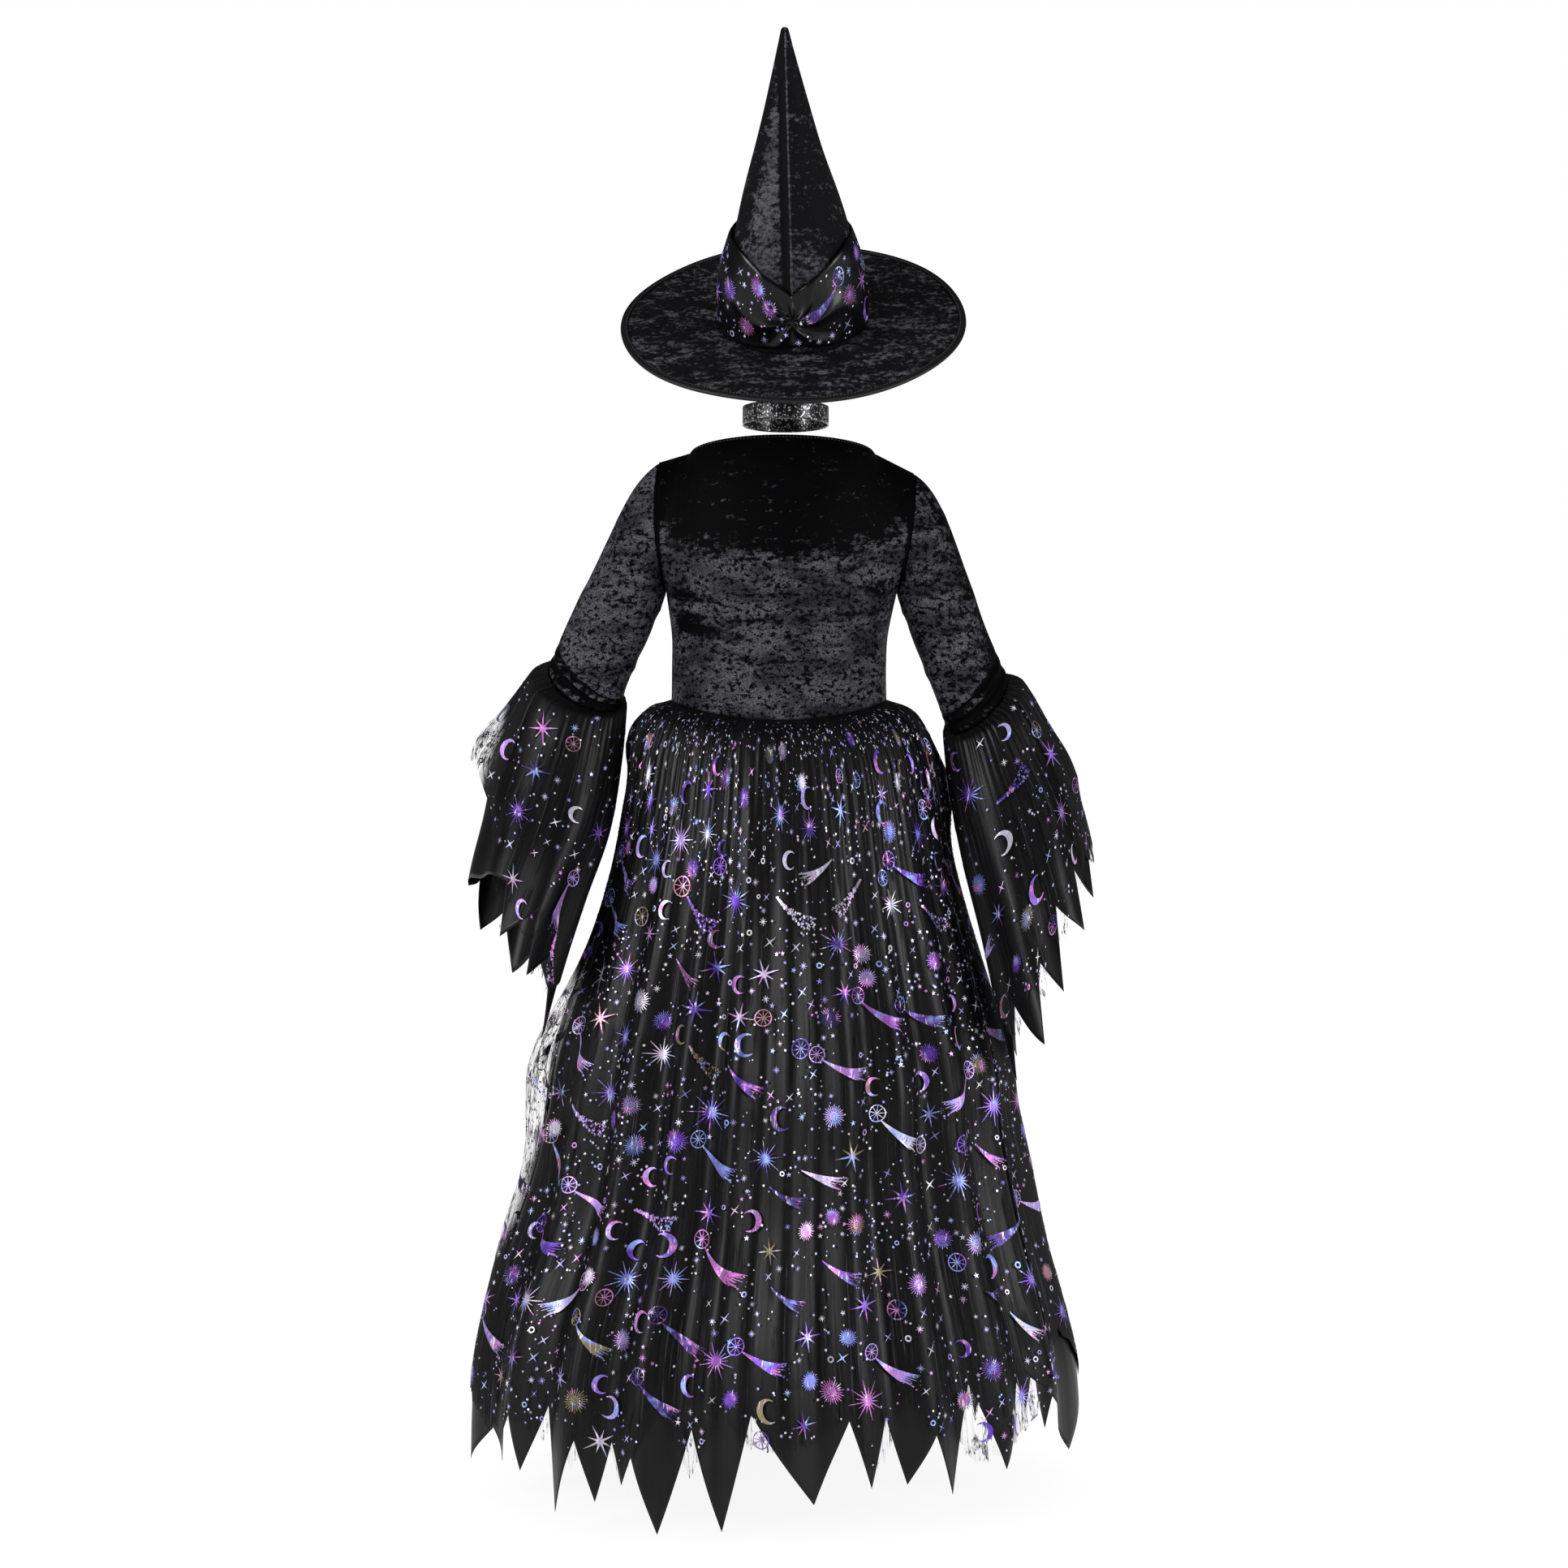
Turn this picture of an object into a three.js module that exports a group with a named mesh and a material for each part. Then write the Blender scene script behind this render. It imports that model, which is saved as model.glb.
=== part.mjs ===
// A witch's dress with its pointed hat and choker, filled out as worn and open at every edge.
// Millimetres, +Z up. The front faces -Y and the garment's own left side is +X. Heights in the
// tables are measured up from the ground, and the last lines move the origin to the shoulder line.

import * as THREE from 'three';

const { abs, atan2, cos, exp, floor, max, min, PI, sign, sin } = Math;
const rad = THREE.MathUtils.degToRad;
const deg = THREE.MathUtils.radToDeg;
const smooth = (x, from, to) => THREE.MathUtils.smoothstep(x, from, to);
const bell = (x, middle, halfWidth) => exp(-(((x - middle) / halfWidth) ** 2));
const point = (x, y, z) => new THREE.Vector3(x, y, z);

// What holds the dress up is the shoulder line, and the origin is at its middle.
const SHOULDER_LINE = 1250;

// Cloth thicknesses, and the gap left at a seam between two pieces.
const VELVET = 1.5;
const SATIN = 1.2;
const NET = 1.0;
const SEAM_GAP = 0.3;

// Rows of numbers under named columns, read at any place along the first column on a smooth curve.
function table(columns, rows) {
  const slope = (i, k) => {
    const a = rows[max(i - 1, 0)];
    const b = rows[min(i + 1, rows.length - 1)];
    return (b[k] - a[k]) / (b[0] - a[0]);
  };
  return (place) => {
    const x = min(max(place, rows[0][0]), rows[rows.length - 1][0]);
    const i = min(max(rows.findIndex((row) => row[0] >= x) - 1, 0), rows.length - 2);
    const span = rows[i + 1][0] - rows[i][0];
    const t = (x - rows[i][0]) / span;
    const read = {};
    columns.forEach((name, k) => {
      const rise = rows[i + 1][k] - rows[i][k];
      const from = slope(i, k) * span;
      const to = slope(i + 1, k) * span;
      read[name] = rows[i][k] + t * (from + t * (3 * rise - 2 * from - to + t * (from + to - 2 * rise)));
    });
    return read;
  };
}

// A closed wall of cloth. rings[row][column] are the points of its outer face, and its thickness
// goes inwards. A round wall joins its last column to its first. seams gives, for an edge of the
// wall, the direction that the seam there faces: the edge is cut square to it.
function clothWall(rings, thickness, { round = false, seams = {} } = {}) {
  const rows = rings.length;
  const columns = rings[0].length;
  const column = (c) => (round ? (c + columns) % columns : min(max(c, 0), columns - 1));
  const at = (r, c) => rings[min(max(r, 0), rows - 1)][column(c)];
  const normals = rings.map((ring, r) => ring.map((_, c) => {
    const across = at(r, c + 1).clone().sub(at(r, c - 1));
    const along = at(r + 1, c).clone().sub(at(r - 1, c));
    return across.cross(along).normalize();
  }));
  const all = rings.flat();
  const middle = all.reduce((sum, p) => sum.add(p), point(0, 0, 0)).divideScalar(all.length);
  const facing = rings.flatMap((ring, r) => ring.map((p, c) => p.clone().sub(middle).dot(normals[r][c])));
  const outwards = sign(facing.reduce((sum, x) => sum + x, 0));

  const seamAt = (r, c) => [
    r === 0 && seams.first, r === rows - 1 && seams.last,
    !round && c === 0 && seams.left, !round && c === columns - 1 && seams.right,
  ].filter(Boolean).map((seam) => (typeof seam === 'function' ? seam(r, c) : seam));
  const inner = rings.map((ring, r) => ring.map((p, c) => {
    const normal = normals[r][c].clone();
    seamAt(r, c).forEach((way) => normal.addScaledVector(way, -normal.dot(way) / way.lengthSq()));
    return p.clone().addScaledVector(normal.normalize(), -outwards * thickness);
  }));

  const id = (layer, r, c) => (layer * rows + r) * columns + column(c);
  const triangles = [];
  const quad = (a, b, c, d) => {
    triangles.push(...(outwards > 0 ? [a, b, c, a, c, d] : [a, c, b, a, d, c]));
  };
  const lastCell = round ? columns : columns - 1;
  for (let r = 0; r < rows - 1; r += 1) {
    for (let c = 0; c < lastCell; c += 1) {
      quad(id(0, r, c), id(0, r, c + 1), id(0, r + 1, c + 1), id(0, r + 1, c));
      quad(id(1, r, c), id(1, r + 1, c), id(1, r + 1, c + 1), id(1, r, c + 1));
    }
  }
  for (let c = 0; c < lastCell; c += 1) {
    quad(id(0, 0, c), id(1, 0, c), id(1, 0, c + 1), id(0, 0, c + 1));
    quad(id(0, rows - 1, c), id(0, rows - 1, c + 1), id(1, rows - 1, c + 1), id(1, rows - 1, c));
  }
  for (let r = 0; !round && r < rows - 1; r += 1) {
    const end = columns - 1;
    quad(id(0, r, 0), id(0, r + 1, 0), id(1, r + 1, 0), id(1, r, 0));
    quad(id(0, r, end), id(1, r, end), id(1, r + 1, end), id(0, r + 1, end));
  }
  const geometry = new THREE.BufferGeometry();
  const places = [...all, ...inner.flat()].flatMap((p) => [p.x, p.y, p.z]);
  geometry.setAttribute('position', new THREE.Float32BufferAttribute(places, 3));
  geometry.setIndex(triangles);
  return geometry;
}

// Materials, in the colours of the photograph.
function cloth(color, roughness, more = {}) {
  return new THREE.MeshStandardMaterial({ color, roughness, metalness: 0, ...more });
}
const crushedVelvet = cloth(0x1c1c1f, 0.85);
const blackSatin = cloth(0x121214, 0.4);
const printedSatin = cloth(0x17151c, 0.4);
const printedNet = cloth(0x1a1720, 0.6, { transparent: true, opacity: 0.7, side: THREE.DoubleSide });
const edgeTape = cloth(0x1f2023, 0.55);
const glitterBand = cloth(0x18181b, 0.45);

const costume = new THREE.Group();
function addPiece(name, geometry, material, parent = costume) {
  const piece = new THREE.Mesh(geometry, material);
  piece.name = name;
  parent.add(piece);
  return piece;
}

// The waist seam is an oval that dips at the back and the front. An angle round the body is 0 at
// the middle of the back and 90 degrees at the left side.
const WAIST = { halfWidth: 129, halfDepth: 98, shift: 4, side: 954, backDip: 19, frontDip: 9 };
function waistHeight(angle) {
  const dip = cos(angle) > 0 ? WAIST.backDip : WAIST.frontDip;
  return WAIST.side - dip * cos(angle) ** 2;
}

// The skirt's outline by the drop below the waist seam. It puffs out over the gathers, falls as a
// cone and swings a little to the left at the hem.
const skirtOutline = table(['drop', 'halfWidth', 'halfDepth', 'shift'], [
  [0, WAIST.halfWidth, WAIST.halfDepth, WAIST.shift],
  [8, 147, 115, 4],
  [20, 160, 129, 2],
  [50, 175, 144, 0],
  [90, 185, 156, -1],
  [200, 209, 181, -1],
  [330, 243, 213, -1],
  [430, 269, 237, 0],
  [490, 276, 245, 3],
  [570, 292, 259, 5],
  [640, 313, 279, 8],
  [720, 341, 303, 11],
  [800, 359, 318, 10],
  [940, 366, 324, 9],
]);

// Soft folds of the skirt: where each lies round the body in degrees, half its width in degrees,
// how far its crest stands out (or its trough goes in) in millimetres, and the drop where it starts.
const SKIRT_FOLDS = [
  [-84, 6, 7, 120], [-73, 5, -8, 60], [-64, 4.5, 10, 90], [-55, 4.5, -9, 160], [-47, 4, 9, 40],
  [-38, 4, -10, 70], [-30, 4, 9, 150], [-23, 3.5, -8, 30], [-16, 3.5, 9, 60], [-9, 3.5, -9, 140],
  [-2, 3.5, 8, 40], [5, 3.5, -8, 80], [11, 3.5, 10, 30], [18, 4, -10, 60], [25, 3.5, 8, 120],
  [32, 4, -10, 50], [40, 4, 11, 80], [48, 4, -9, 150], [57, 4.5, 10, 60], [66, 5, -8, 90], [76, 5, 9, 60],
  [96, 5, -7, 90], [105, 5, 9, 60], [115, 5, -8, 120], [125, 5, 9, 50], [134, 5, -9, 90], [144, 5, 10, 40],
  [153, 5, -8, 140], [162, 5, 9, 60], [171, 5, -9, 90], [180, 5, 10, 50], [190, 5, -9, 120],
  [199, 5, 8, 60], [209, 5, -9, 80], [218, 5, 10, 40], [228, 5, -8, 150], [238, 5, 9, 60],
  [248, 5, -9, 90], [258, 5, 8, 70],
].map(([middle, halfWidth, height, start]) => ({ middle, halfWidth, height, start }));
const FOLD_GROWTH = { before: 60, after: 420 };

// Where the hanging cuffs press on the skirt's sides it goes in a little.
const PRESSED = { middle: 82, halfWidth: 22, depth: 7, drop: 230, reach: 150 };

// Degrees from one direction to another, the short way round.
const turnBetween = (a, b) => ((((a - b) % 360) + 540) % 360) - 180;

function skirtFolds(degrees, drop) {
  let out = 0;
  for (const fold of SKIRT_FOLDS) {
    const away = turnBetween(degrees, fold.middle);
    const { before, after } = FOLD_GROWTH;
    const grown = smooth(drop, fold.start - before, fold.start + after);
    out += fold.height * bell(away, 0, fold.halfWidth) * grown;
  }
  for (const side of [1, -1]) {
    const away = turnBetween(degrees, side * PRESSED.middle);
    out -= PRESSED.depth * bell(away, 0, PRESSED.halfWidth) * bell(drop, PRESSED.drop, PRESSED.reach);
  }
  return out;
}

// Small gathers at the waist, one for each two columns of the wall. They die away downwards.
const GATHER = { height: 2, fade: 60 };

// A point of the skirt's cloth at an angle, a drop below the waist seam and a distance outwards.
// Where the skirt puffs out like a shelf below the waist, a layer over it also lies higher.
const SHELF = { drop: 24, halfHeight: 22, lift: 0.8 };
function onSkirt(degrees, drop, out, layer) {
  const angle = rad(degrees);
  const { halfWidth, halfDepth, shift } = skirtOutline(drop);
  const away = point(sin(angle) * halfDepth, cos(angle) * halfWidth, 0).normalize();
  const lift = SHELF.lift * layer * bell(drop, SHELF.drop, SHELF.halfHeight);
  const height = waistHeight(angle) - drop + lift;
  const oval = point(shift + halfWidth * sin(angle), halfDepth * cos(angle), height);
  return oval.addScaledVector(away, out + layer + skirtFolds(degrees, drop));
}

// The jagged hem of the skirt. Each row is a notch and the point that follows it: the angle of the
// notch in degrees and its height above the ground, the same for the point, and the heights of the
// net's own hem at that notch and that point.
const HEM_COLUMNS = ['notchAngle', 'notchHeight', 'pointAngle', 'pointHeight', 'netAtNotch', 'netAtPoint'];
function hemRows(rows) {
  return rows.map((row) => Object.fromEntries(HEM_COLUMNS.map((name, k) => [name, row[k]])));
}
const BACK_HEM = hemRows([
  [-90, 150, -77, 59, 120, 205],
  [-56, 181, -46.4, 74, 112, 96],
  [-40.3, 175, -34.5, 54, 86, 128],
  [-30.4, 127, -25, 71, 122, 168],
  [-21.3, 150, -17.5, 73, 110, 92],
  [-13.8, 150, -7.3, 54, 158, 122],
  [4.1, 156, 9.2, 26, 118, 160],
  [15.2, 139, 21.5, 16, 84, 150],
  [26.4, 104, 29, 68, 98, 74],
  [31.8, 115, 34.8, 44, 104, 132],
  [38.4, 115, 43.7, 26, 80, 146],
  [48.1, 144, 53.6, 64, 104, 122],
  [57.9, 144, 62.6, 64, 118, 150],
  [68.6, 96, 77, 49, 92, 138],
]);
const FRONT_HEM = hemRows([
  [90, 142, 97, 52, 100, 140],
  [104, 150, 111, 40, 92, 146],
  [118, 138, 124, 30, 104, 150],
  [131, 152, 137, 58, 88, 132],
  [143, 140, 150, 36, 96, 148],
  [156, 150, 162, 24, 84, 140],
  [168, 136, 175, 46, 102, 150],
  [182, 148, 188, 30, 90, 144],
  [194, 140, 200, 52, 96, 138],
  [206, 152, 213, 38, 86, 148],
  [219, 138, 225, 28, 100, 142],
  [231, 150, 238, 50, 92, 150],
  [244, 142, 250, 42, 98, 136],
  [256, 148, 263, 56, 94, 144],
]);
const COLUMNS_PER_POINT = 4;

// Reads a hem between its notches and points: place counts wall columns from the first notch.
function hemAt(rows, end, place) {
  const i = min(floor(place / COLUMNS_PER_POINT), rows.length - 1);
  const part = place / COLUMNS_PER_POINT - i;
  const next = rows[i + 1] ?? end;
  const here = rows[i];
  const near = part < 0.5;
  const share = near ? part * 2 : part * 2 - 1;
  const mix = (a, b) => a + (b - a) * share;
  return {
    degrees: near ? mix(here.notchAngle, here.pointAngle) : mix(here.pointAngle, next.notchAngle),
    cloth: near ? mix(here.notchHeight, here.pointHeight) : mix(here.pointHeight, next.notchHeight),
    net: near ? mix(here.netAtNotch, here.netAtPoint) : mix(here.netAtPoint, next.netAtNotch),
  };
}

// The net hangs over the satin with a little room, and stands off further at the sides: the angle
// in degrees, half the width, how far, the drop and half the height.
const NET_ROOM = { top: 2.8, hem: 5.5 };
const NET_BILLOWS = [[84, 17, 33, 435, 105], [84, 14, 15, 620, 75], [-84, 16, 7, 560, 90]];
function netStandsOff(degrees, drop) {
  let off = NET_ROOM.top + (NET_ROOM.hem - NET_ROOM.top) * smooth(drop, 0, 500);
  for (const [middle, halfWidth, most, place, reach] of NET_BILLOWS) {
    off += most * bell(turnBetween(degrees, middle), 0, halfWidth) * bell(drop, place, reach);
  }
  return off;
}

// One panel of the skirt, from side seam to side seam, in satin or in net.
const SKIRT_DROPS = [0, 10, 48, 170, 380, 590, 735, Infinity];
function skirtPanel(hem, end, isNet) {
  const last = hem.length * COLUMNS_PER_POINT;
  const rings = SKIRT_DROPS.map((level) => Array.from({ length: last + 1 }, (_, column) => {
    const edge = hemAt(hem, end, column);
    const inset = (column === 0 ? 1 : 0) - (column === last ? 1 : 0);
    const degrees = edge.degrees + (inset * deg(SEAM_GAP / 2)) / WAIST.halfDepth;
    const full = waistHeight(rad(degrees)) - (isNet ? edge.net : edge.cloth);
    const drop = max(SEAM_GAP, min(level, full));
    const gather = GATHER.height * cos(PI * column) * exp(-drop / GATHER.fade);
    return onSkirt(degrees, drop, gather, isNet ? netStandsOff(degrees, drop) : 0);
  }));
  const seams = { first: point(0, 0, 1), left: point(0, 1, 0), right: point(0, 1, 0) };
  return clothWall(rings, isNet ? NET : SATIN, { seams });
}
const frontStart = FRONT_HEM[0];
const backStart = { ...BACK_HEM[0], notchAngle: BACK_HEM[0].notchAngle + 360 };
addPiece('skirt_back', skirtPanel(BACK_HEM, frontStart, false), blackSatin);
addPiece('skirt_front', skirtPanel(FRONT_HEM, backStart, false), blackSatin);
addPiece('skirt_net_back', skirtPanel(BACK_HEM, frontStart, true), printedNet);
addPiece('skirt_net_front', skirtPanel(FRONT_HEM, backStart, true), printedNet);

// Each arm is a run of oval rings. outer and inner are the points of a ring furthest from and
// nearest to the body, each with its place across, its depth and its height; depth is half the
// ring front to back, and backDrop is how much lower its back hangs than its middle. Down a
// flounce, place 1 is about the height of its notches, and hem gives its edge in such places.
const ARM_COLUMNS = [
  'place', 'outerX', 'outerY', 'outerH', 'innerX', 'innerY', 'innerH', 'depth', 'backDrop',
];
const ARMS = {
  left: {
    side: 1,
    sleeve: table(ARM_COLUMNS, [
      [0, 147, 2, 1238, 139, 2, 1083, 50, 0],
      [1, 166, 2, 1221, 144, 2, 1068, 52, 0],
      [2, 184, 2, 1196, 152, 2, 1049, 53, 1],
      [3, 206, 2, 1152, 163, 2, 1023, 51, 4],
      [4, 231, 1, 1100, 176, 2, 997, 49, 10],
      [5, 258, 1, 1045, 187, 1, 971, 47, 18],
      [6, 280, 0, 992, 192, 0, 955, 45, 25],
    ]),
    flounce: table(ARM_COLUMNS, [
      [0, 281, 0, 991, 191, 0, 954, 46, 25],
      [0.05, 301, 2, 982, 189, 4, 946, 57, 24],
      [0.25, 325, 6, 925, 195, 16, 880, 66, 14],
      [0.5, 345, 10, 868, 209, 42, 800, 73, 2],
      [0.75, 357, 14, 806, 236, 80, 722, 80, -12],
      [1, 370, 20, 750, 260, 104, 645, 86, -26],
      [1.45, 388, 34, 655, 287, 142, 540, 95, -36],
    ]),
    hem: hemRows([
      [-20, 1.0, 5, 1.08, 0.66, 0.56],
      [32, 0.97, 55, 1.2, 1.14, 1.04],
      [75, 0.96, 88, 1.27, 1.16, 1.0],
      [108, 1.07, 128, 1.22, 1.22, 1.06],
      [146, 1.0, 168, 1.26, 1.16, 1.04],
      [195, 0.98, 222, 1.12, 1.06, 0.98],
      [248, 1.0, 272, 1.2, 1.12, 1.02],
      [295, 1.0, 318, 1.2, 1.1, 0.96],
    ]),
    flare: { angle: -8, halfWidth: 24, most: 34 },
  },
  right: {
    side: -1,
    sleeve: table(ARM_COLUMNS, [
      [0, 157, 2, 1225, 137, 2, 1081, 50, 0],
      [1, 172, 2, 1212, 142, 2, 1065, 52, 0],
      [2, 186, 2, 1192, 149, 2, 1046, 53, 1],
      [3, 201, 2, 1160, 159, 2, 1019, 51, 4],
      [4, 220, 1, 1108, 171, 2, 990, 49, 9],
      [5, 244, 1, 1040, 184, 1, 958, 47, 16],
      [6, 270, 0, 979, 197, 0, 923, 45, 22],
    ]),
    flounce: table(ARM_COLUMNS, [
      [0, 270.5, 0, 978, 196.5, 0, 922, 46, 22],
      [0.05, 289, 2, 971, 195, 4, 912, 57, 22],
      [0.25, 318, 6, 915, 202, 18, 848, 67, 14],
      [0.5, 342, 10, 866, 217, 46, 768, 76, 6],
      [0.75, 356, 14, 822, 238, 76, 682, 83, 2],
      [1, 366, 16, 785, 257, 96, 590, 89, 0],
      [1.45, 384, 22, 715, 282, 130, 478, 98, -4],
    ]),
    hem: hemRows([
      [-34, 0.88, -14, 0.98, 1.0, 0.9],
      [-5, 0.85, 4, 1.17, 1.02, 0.94],
      [22, 1.0, 31, 1.29, 1.14, 1.0],
      [50, 0.95, 58, 1.3, 1.12, 1.0],
      [78, 0.95, 90, 1.34, 1.14, 1.02],
      [106, 1.0, 118, 1.36, 1.2, 1.06],
      [146, 1.0, 165, 1.3, 1.16, 1.04],
      [190, 1.0, 212, 1.28, 1.14, 1.0],
      [235, 1.0, 255, 1.25, 1.12, 1.0],
      [282, 0.96, 303, 1.18, 1.08, 0.94],
    ]),
    flare: { angle: -8, halfWidth: 20, most: 9 },
  },
};

// A point of an arm ring at a place along it, pushed outwards. An angle is 0 at the outer side
// and 90 degrees at the back. bow moves the back and front of the ring sideways.
function onArm(run, side, place, degrees, out = 0, bow = 0) {
  const ring = run(place);
  const outer = point(ring.outerX * side, ring.outerY, ring.outerH);
  const inner = point(ring.innerX * side, ring.innerY, ring.innerH);
  const middle = outer.clone().add(inner).divideScalar(2);
  const across = outer.sub(inner).divideScalar(2);
  const back = point(0, ring.depth, -ring.backDrop);
  const angle = rad(degrees);
  const away = across.clone().multiplyScalar(cos(angle) / across.lengthSq());
  away.addScaledVector(back, sin(angle) / back.lengthSq()).normalize();
  return middle.addScaledVector(across, cos(angle)).addScaledVector(back, sin(angle))
    .addScaledVector(away, out).add(point(bow * side * sin(angle) ** 2, 0, 0));
}
const ARMHOLE_BOW = { left: 8, right: 6 };
function armholePoint(name, degrees) {
  return onArm(ARMS[name].sleeve, ARMS[name].side, 0, degrees, 0, ARMHOLE_BOW[name]);
}

// A sleeve from the armhole to the elbow seam.
const SLEEVE = { rings: 6, columns: 20, last: 6 };
function sleeveWall(name) {
  const { side, sleeve } = ARMS[name];
  const rings = Array.from({ length: SLEEVE.rings + 1 }, (_, r) => {
    const place = (r / SLEEVE.rings) * SLEEVE.last;
    const bow = ARMHOLE_BOW[name] * max(0, 1 - place / 2);
    return Array.from({ length: SLEEVE.columns }, (_, c) => {
      const p = onArm(sleeve, side, place, (c * 360) / SLEEVE.columns, 0, bow);
      return r === 0 ? p.add(point(side * SEAM_GAP, 0, 0)) : p;
    });
  });
  const end = ringFacing(sleeve, side, SLEEVE.last);
  return clothWall(rings, VELVET, { round: true, seams: { first: point(1, 0, 0), last: end } });
}

// The direction that an arm ring faces, which is square to its plane.
function ringFacing(run, side, place) {
  const [outer, back, inner] = [0, 90, 180].map((degrees) => onArm(run, side, place, degrees));
  return outer.sub(inner).cross(back.sub(inner)).normalize();
}

// The flounce below the elbow, a flared ring of satin with a jagged hem and net over it. Its soft
// waves grow downwards, its gathers die away, and the net flares off it at the outer side.
const FLOUNCE = { places: [0, 0.06, 0.28, 0.52, Infinity], waves: 7, waveHeight: 5, waveFrom: 0.1 };
const ELBOW_SEAM = { gather: 1.1, gap: 0.6, fade: 0.1 };
const FLOUNCE_NET = { roomAtTop: 3.6, roomAtHem: 6, flareFrom: 0.04, flareTo: 0.56 };
function flounceWall(name, isNet) {
  const { side, flounce, hem, flare } = ARMS[name];
  const end = { ...hem[0], notchAngle: hem[0].notchAngle + 360 };
  const facing = ringFacing(flounce, side, 0);
  const rings = FLOUNCE.places.map((level) => (
    Array.from({ length: hem.length * COLUMNS_PER_POINT }, (_, column) => {
      const edge = hemAt(hem, end, column);
      const place = min(level, isNet ? edge.net : edge.cloth);
      const wave = sin(rad(edge.degrees * FLOUNCE.waves)) * smooth(place, FLOUNCE.waveFrom, 1);
      const fading = exp(-place / ELBOW_SEAM.fade);
      let out = FLOUNCE.waveHeight * wave + ELBOW_SEAM.gather * cos(PI * column) * fading;
      if (isNet) {
        const away = turnBetween(edge.degrees, flare.angle);
        const flaring = smooth(place, FLOUNCE_NET.flareFrom, FLOUNCE_NET.flareTo);
        const { roomAtTop, roomAtHem } = FLOUNCE_NET;
        out += roomAtTop + (roomAtHem - roomAtTop) * smooth(place, 0, FLOUNCE_NET.flareTo);
        out += flare.most * bell(away, 0, flare.halfWidth) * flaring;
      }
      const down = -sign(facing.z) * ELBOW_SEAM.gap * fading;
      return onArm(flounce, side, place, edge.degrees, out).addScaledVector(facing, down);
    })
  ));
  return clothWall(rings, isNet ? NET : SATIN, { round: true, seams: { first: facing } });
}
for (const name of ['left', 'right']) {
  addPiece(`sleeve_${name}`, sleeveWall(name), crushedVelvet);
  addPiece(`flounce_${name}`, flounceWall(name, false), blackSatin);
  addPiece(`flounce_net_${name}`, flounceWall(name, true), printedNet);
}

// The bodice's outline between the waist seam (0) and the armpit (1).
const bodiceOutline = table(['rise', 'halfWidth', 'backDepth', 'frontDepth', 'shift'], [
  [0, WAIST.halfWidth, WAIST.halfDepth, WAIST.halfDepth, WAIST.shift],
  [0.3, 128.5, 98, 101, 4],
  [0.6, 129.5, 101, 108, 3],
  [1, 138, 107, 116, 1],
]);
const ARMPIT = 1082;

// The neckline: where the shoulder seam meets it, and how it runs at the back and the front. The
// easing draws each panel in between the armhole curves, so that it lies flat over the shoulders.
const NECK = { halfWidth: 109, depth: 8, height: 1249, share: 0.72 };
const PANELS = {
  back: { way: 1, neckOut: 50, neckRise: 21, curve: 0.7, easing: -28 },
  front: { way: -1, neckOut: 94, neckRise: -84, curve: 1.15, easing: -35 },
};

// The top edge of a panel: the two shoulder seams at its ends, with the neckline between them.
function panelTop(panel, across) {
  const side = sign(across) || 1;
  const u = abs(across);
  if (u > NECK.share) {
    const share = (u - NECK.share) / (1 - NECK.share);
    const neck = point(side * NECK.halfWidth, NECK.depth, NECK.height);
    return neck.lerp(armholePoint(side > 0 ? 'left' : 'right', 0), share);
  }
  const angle = (u / NECK.share) * (PI / 2);
  const swing = cos(angle);
  return point(side * NECK.halfWidth * sin(angle), NECK.depth + panel.way * panel.neckOut * swing,
    NECK.height + panel.neckRise * swing ** panel.curve);
}

// A point of a panel, across from -1 (right) to 1 (left), and up from 0 (waist) to 1 (armpit) to
// 2 (shoulder and neckline). Above the armpit the panel fills in between its four edges.
function onBodice(panel, across, up) {
  const turn = (across * PI) / 2;
  const rise = min(up, 1);
  const { halfWidth, backDepth, frontDepth, shift } = bodiceOutline(rise);
  const depth = panel.way > 0 ? backDepth : frontDepth;
  const waist = waistHeight(panel.way > 0 ? turn : PI - turn);
  const height = waist + (ARMPIT - waist) * rise;
  const low = point(shift + halfWidth * sin(turn), panel.way * depth * cos(turn), height);
  if (up <= 1) return low;
  const t = up - 1;
  const filled = low.multiplyScalar(1 - t).addScaledVector(panelTop(panel, across), t);
  for (const [name, end, share] of [['right', -1, (1 - across) / 2], ['left', 1, (1 + across) / 2]]) {
    const corners = onBodice(panel, end, 1).multiplyScalar(1 - t).addScaledVector(panelTop(panel, end), t);
    filled.addScaledVector(armholePoint(name, panel.way * 180 * (1 - t)).sub(corners), share);
  }
  filled.y += panel.way * panel.easing * 4 * t * (1 - t) * (1 - across ** 4);
  return filled;
}

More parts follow.
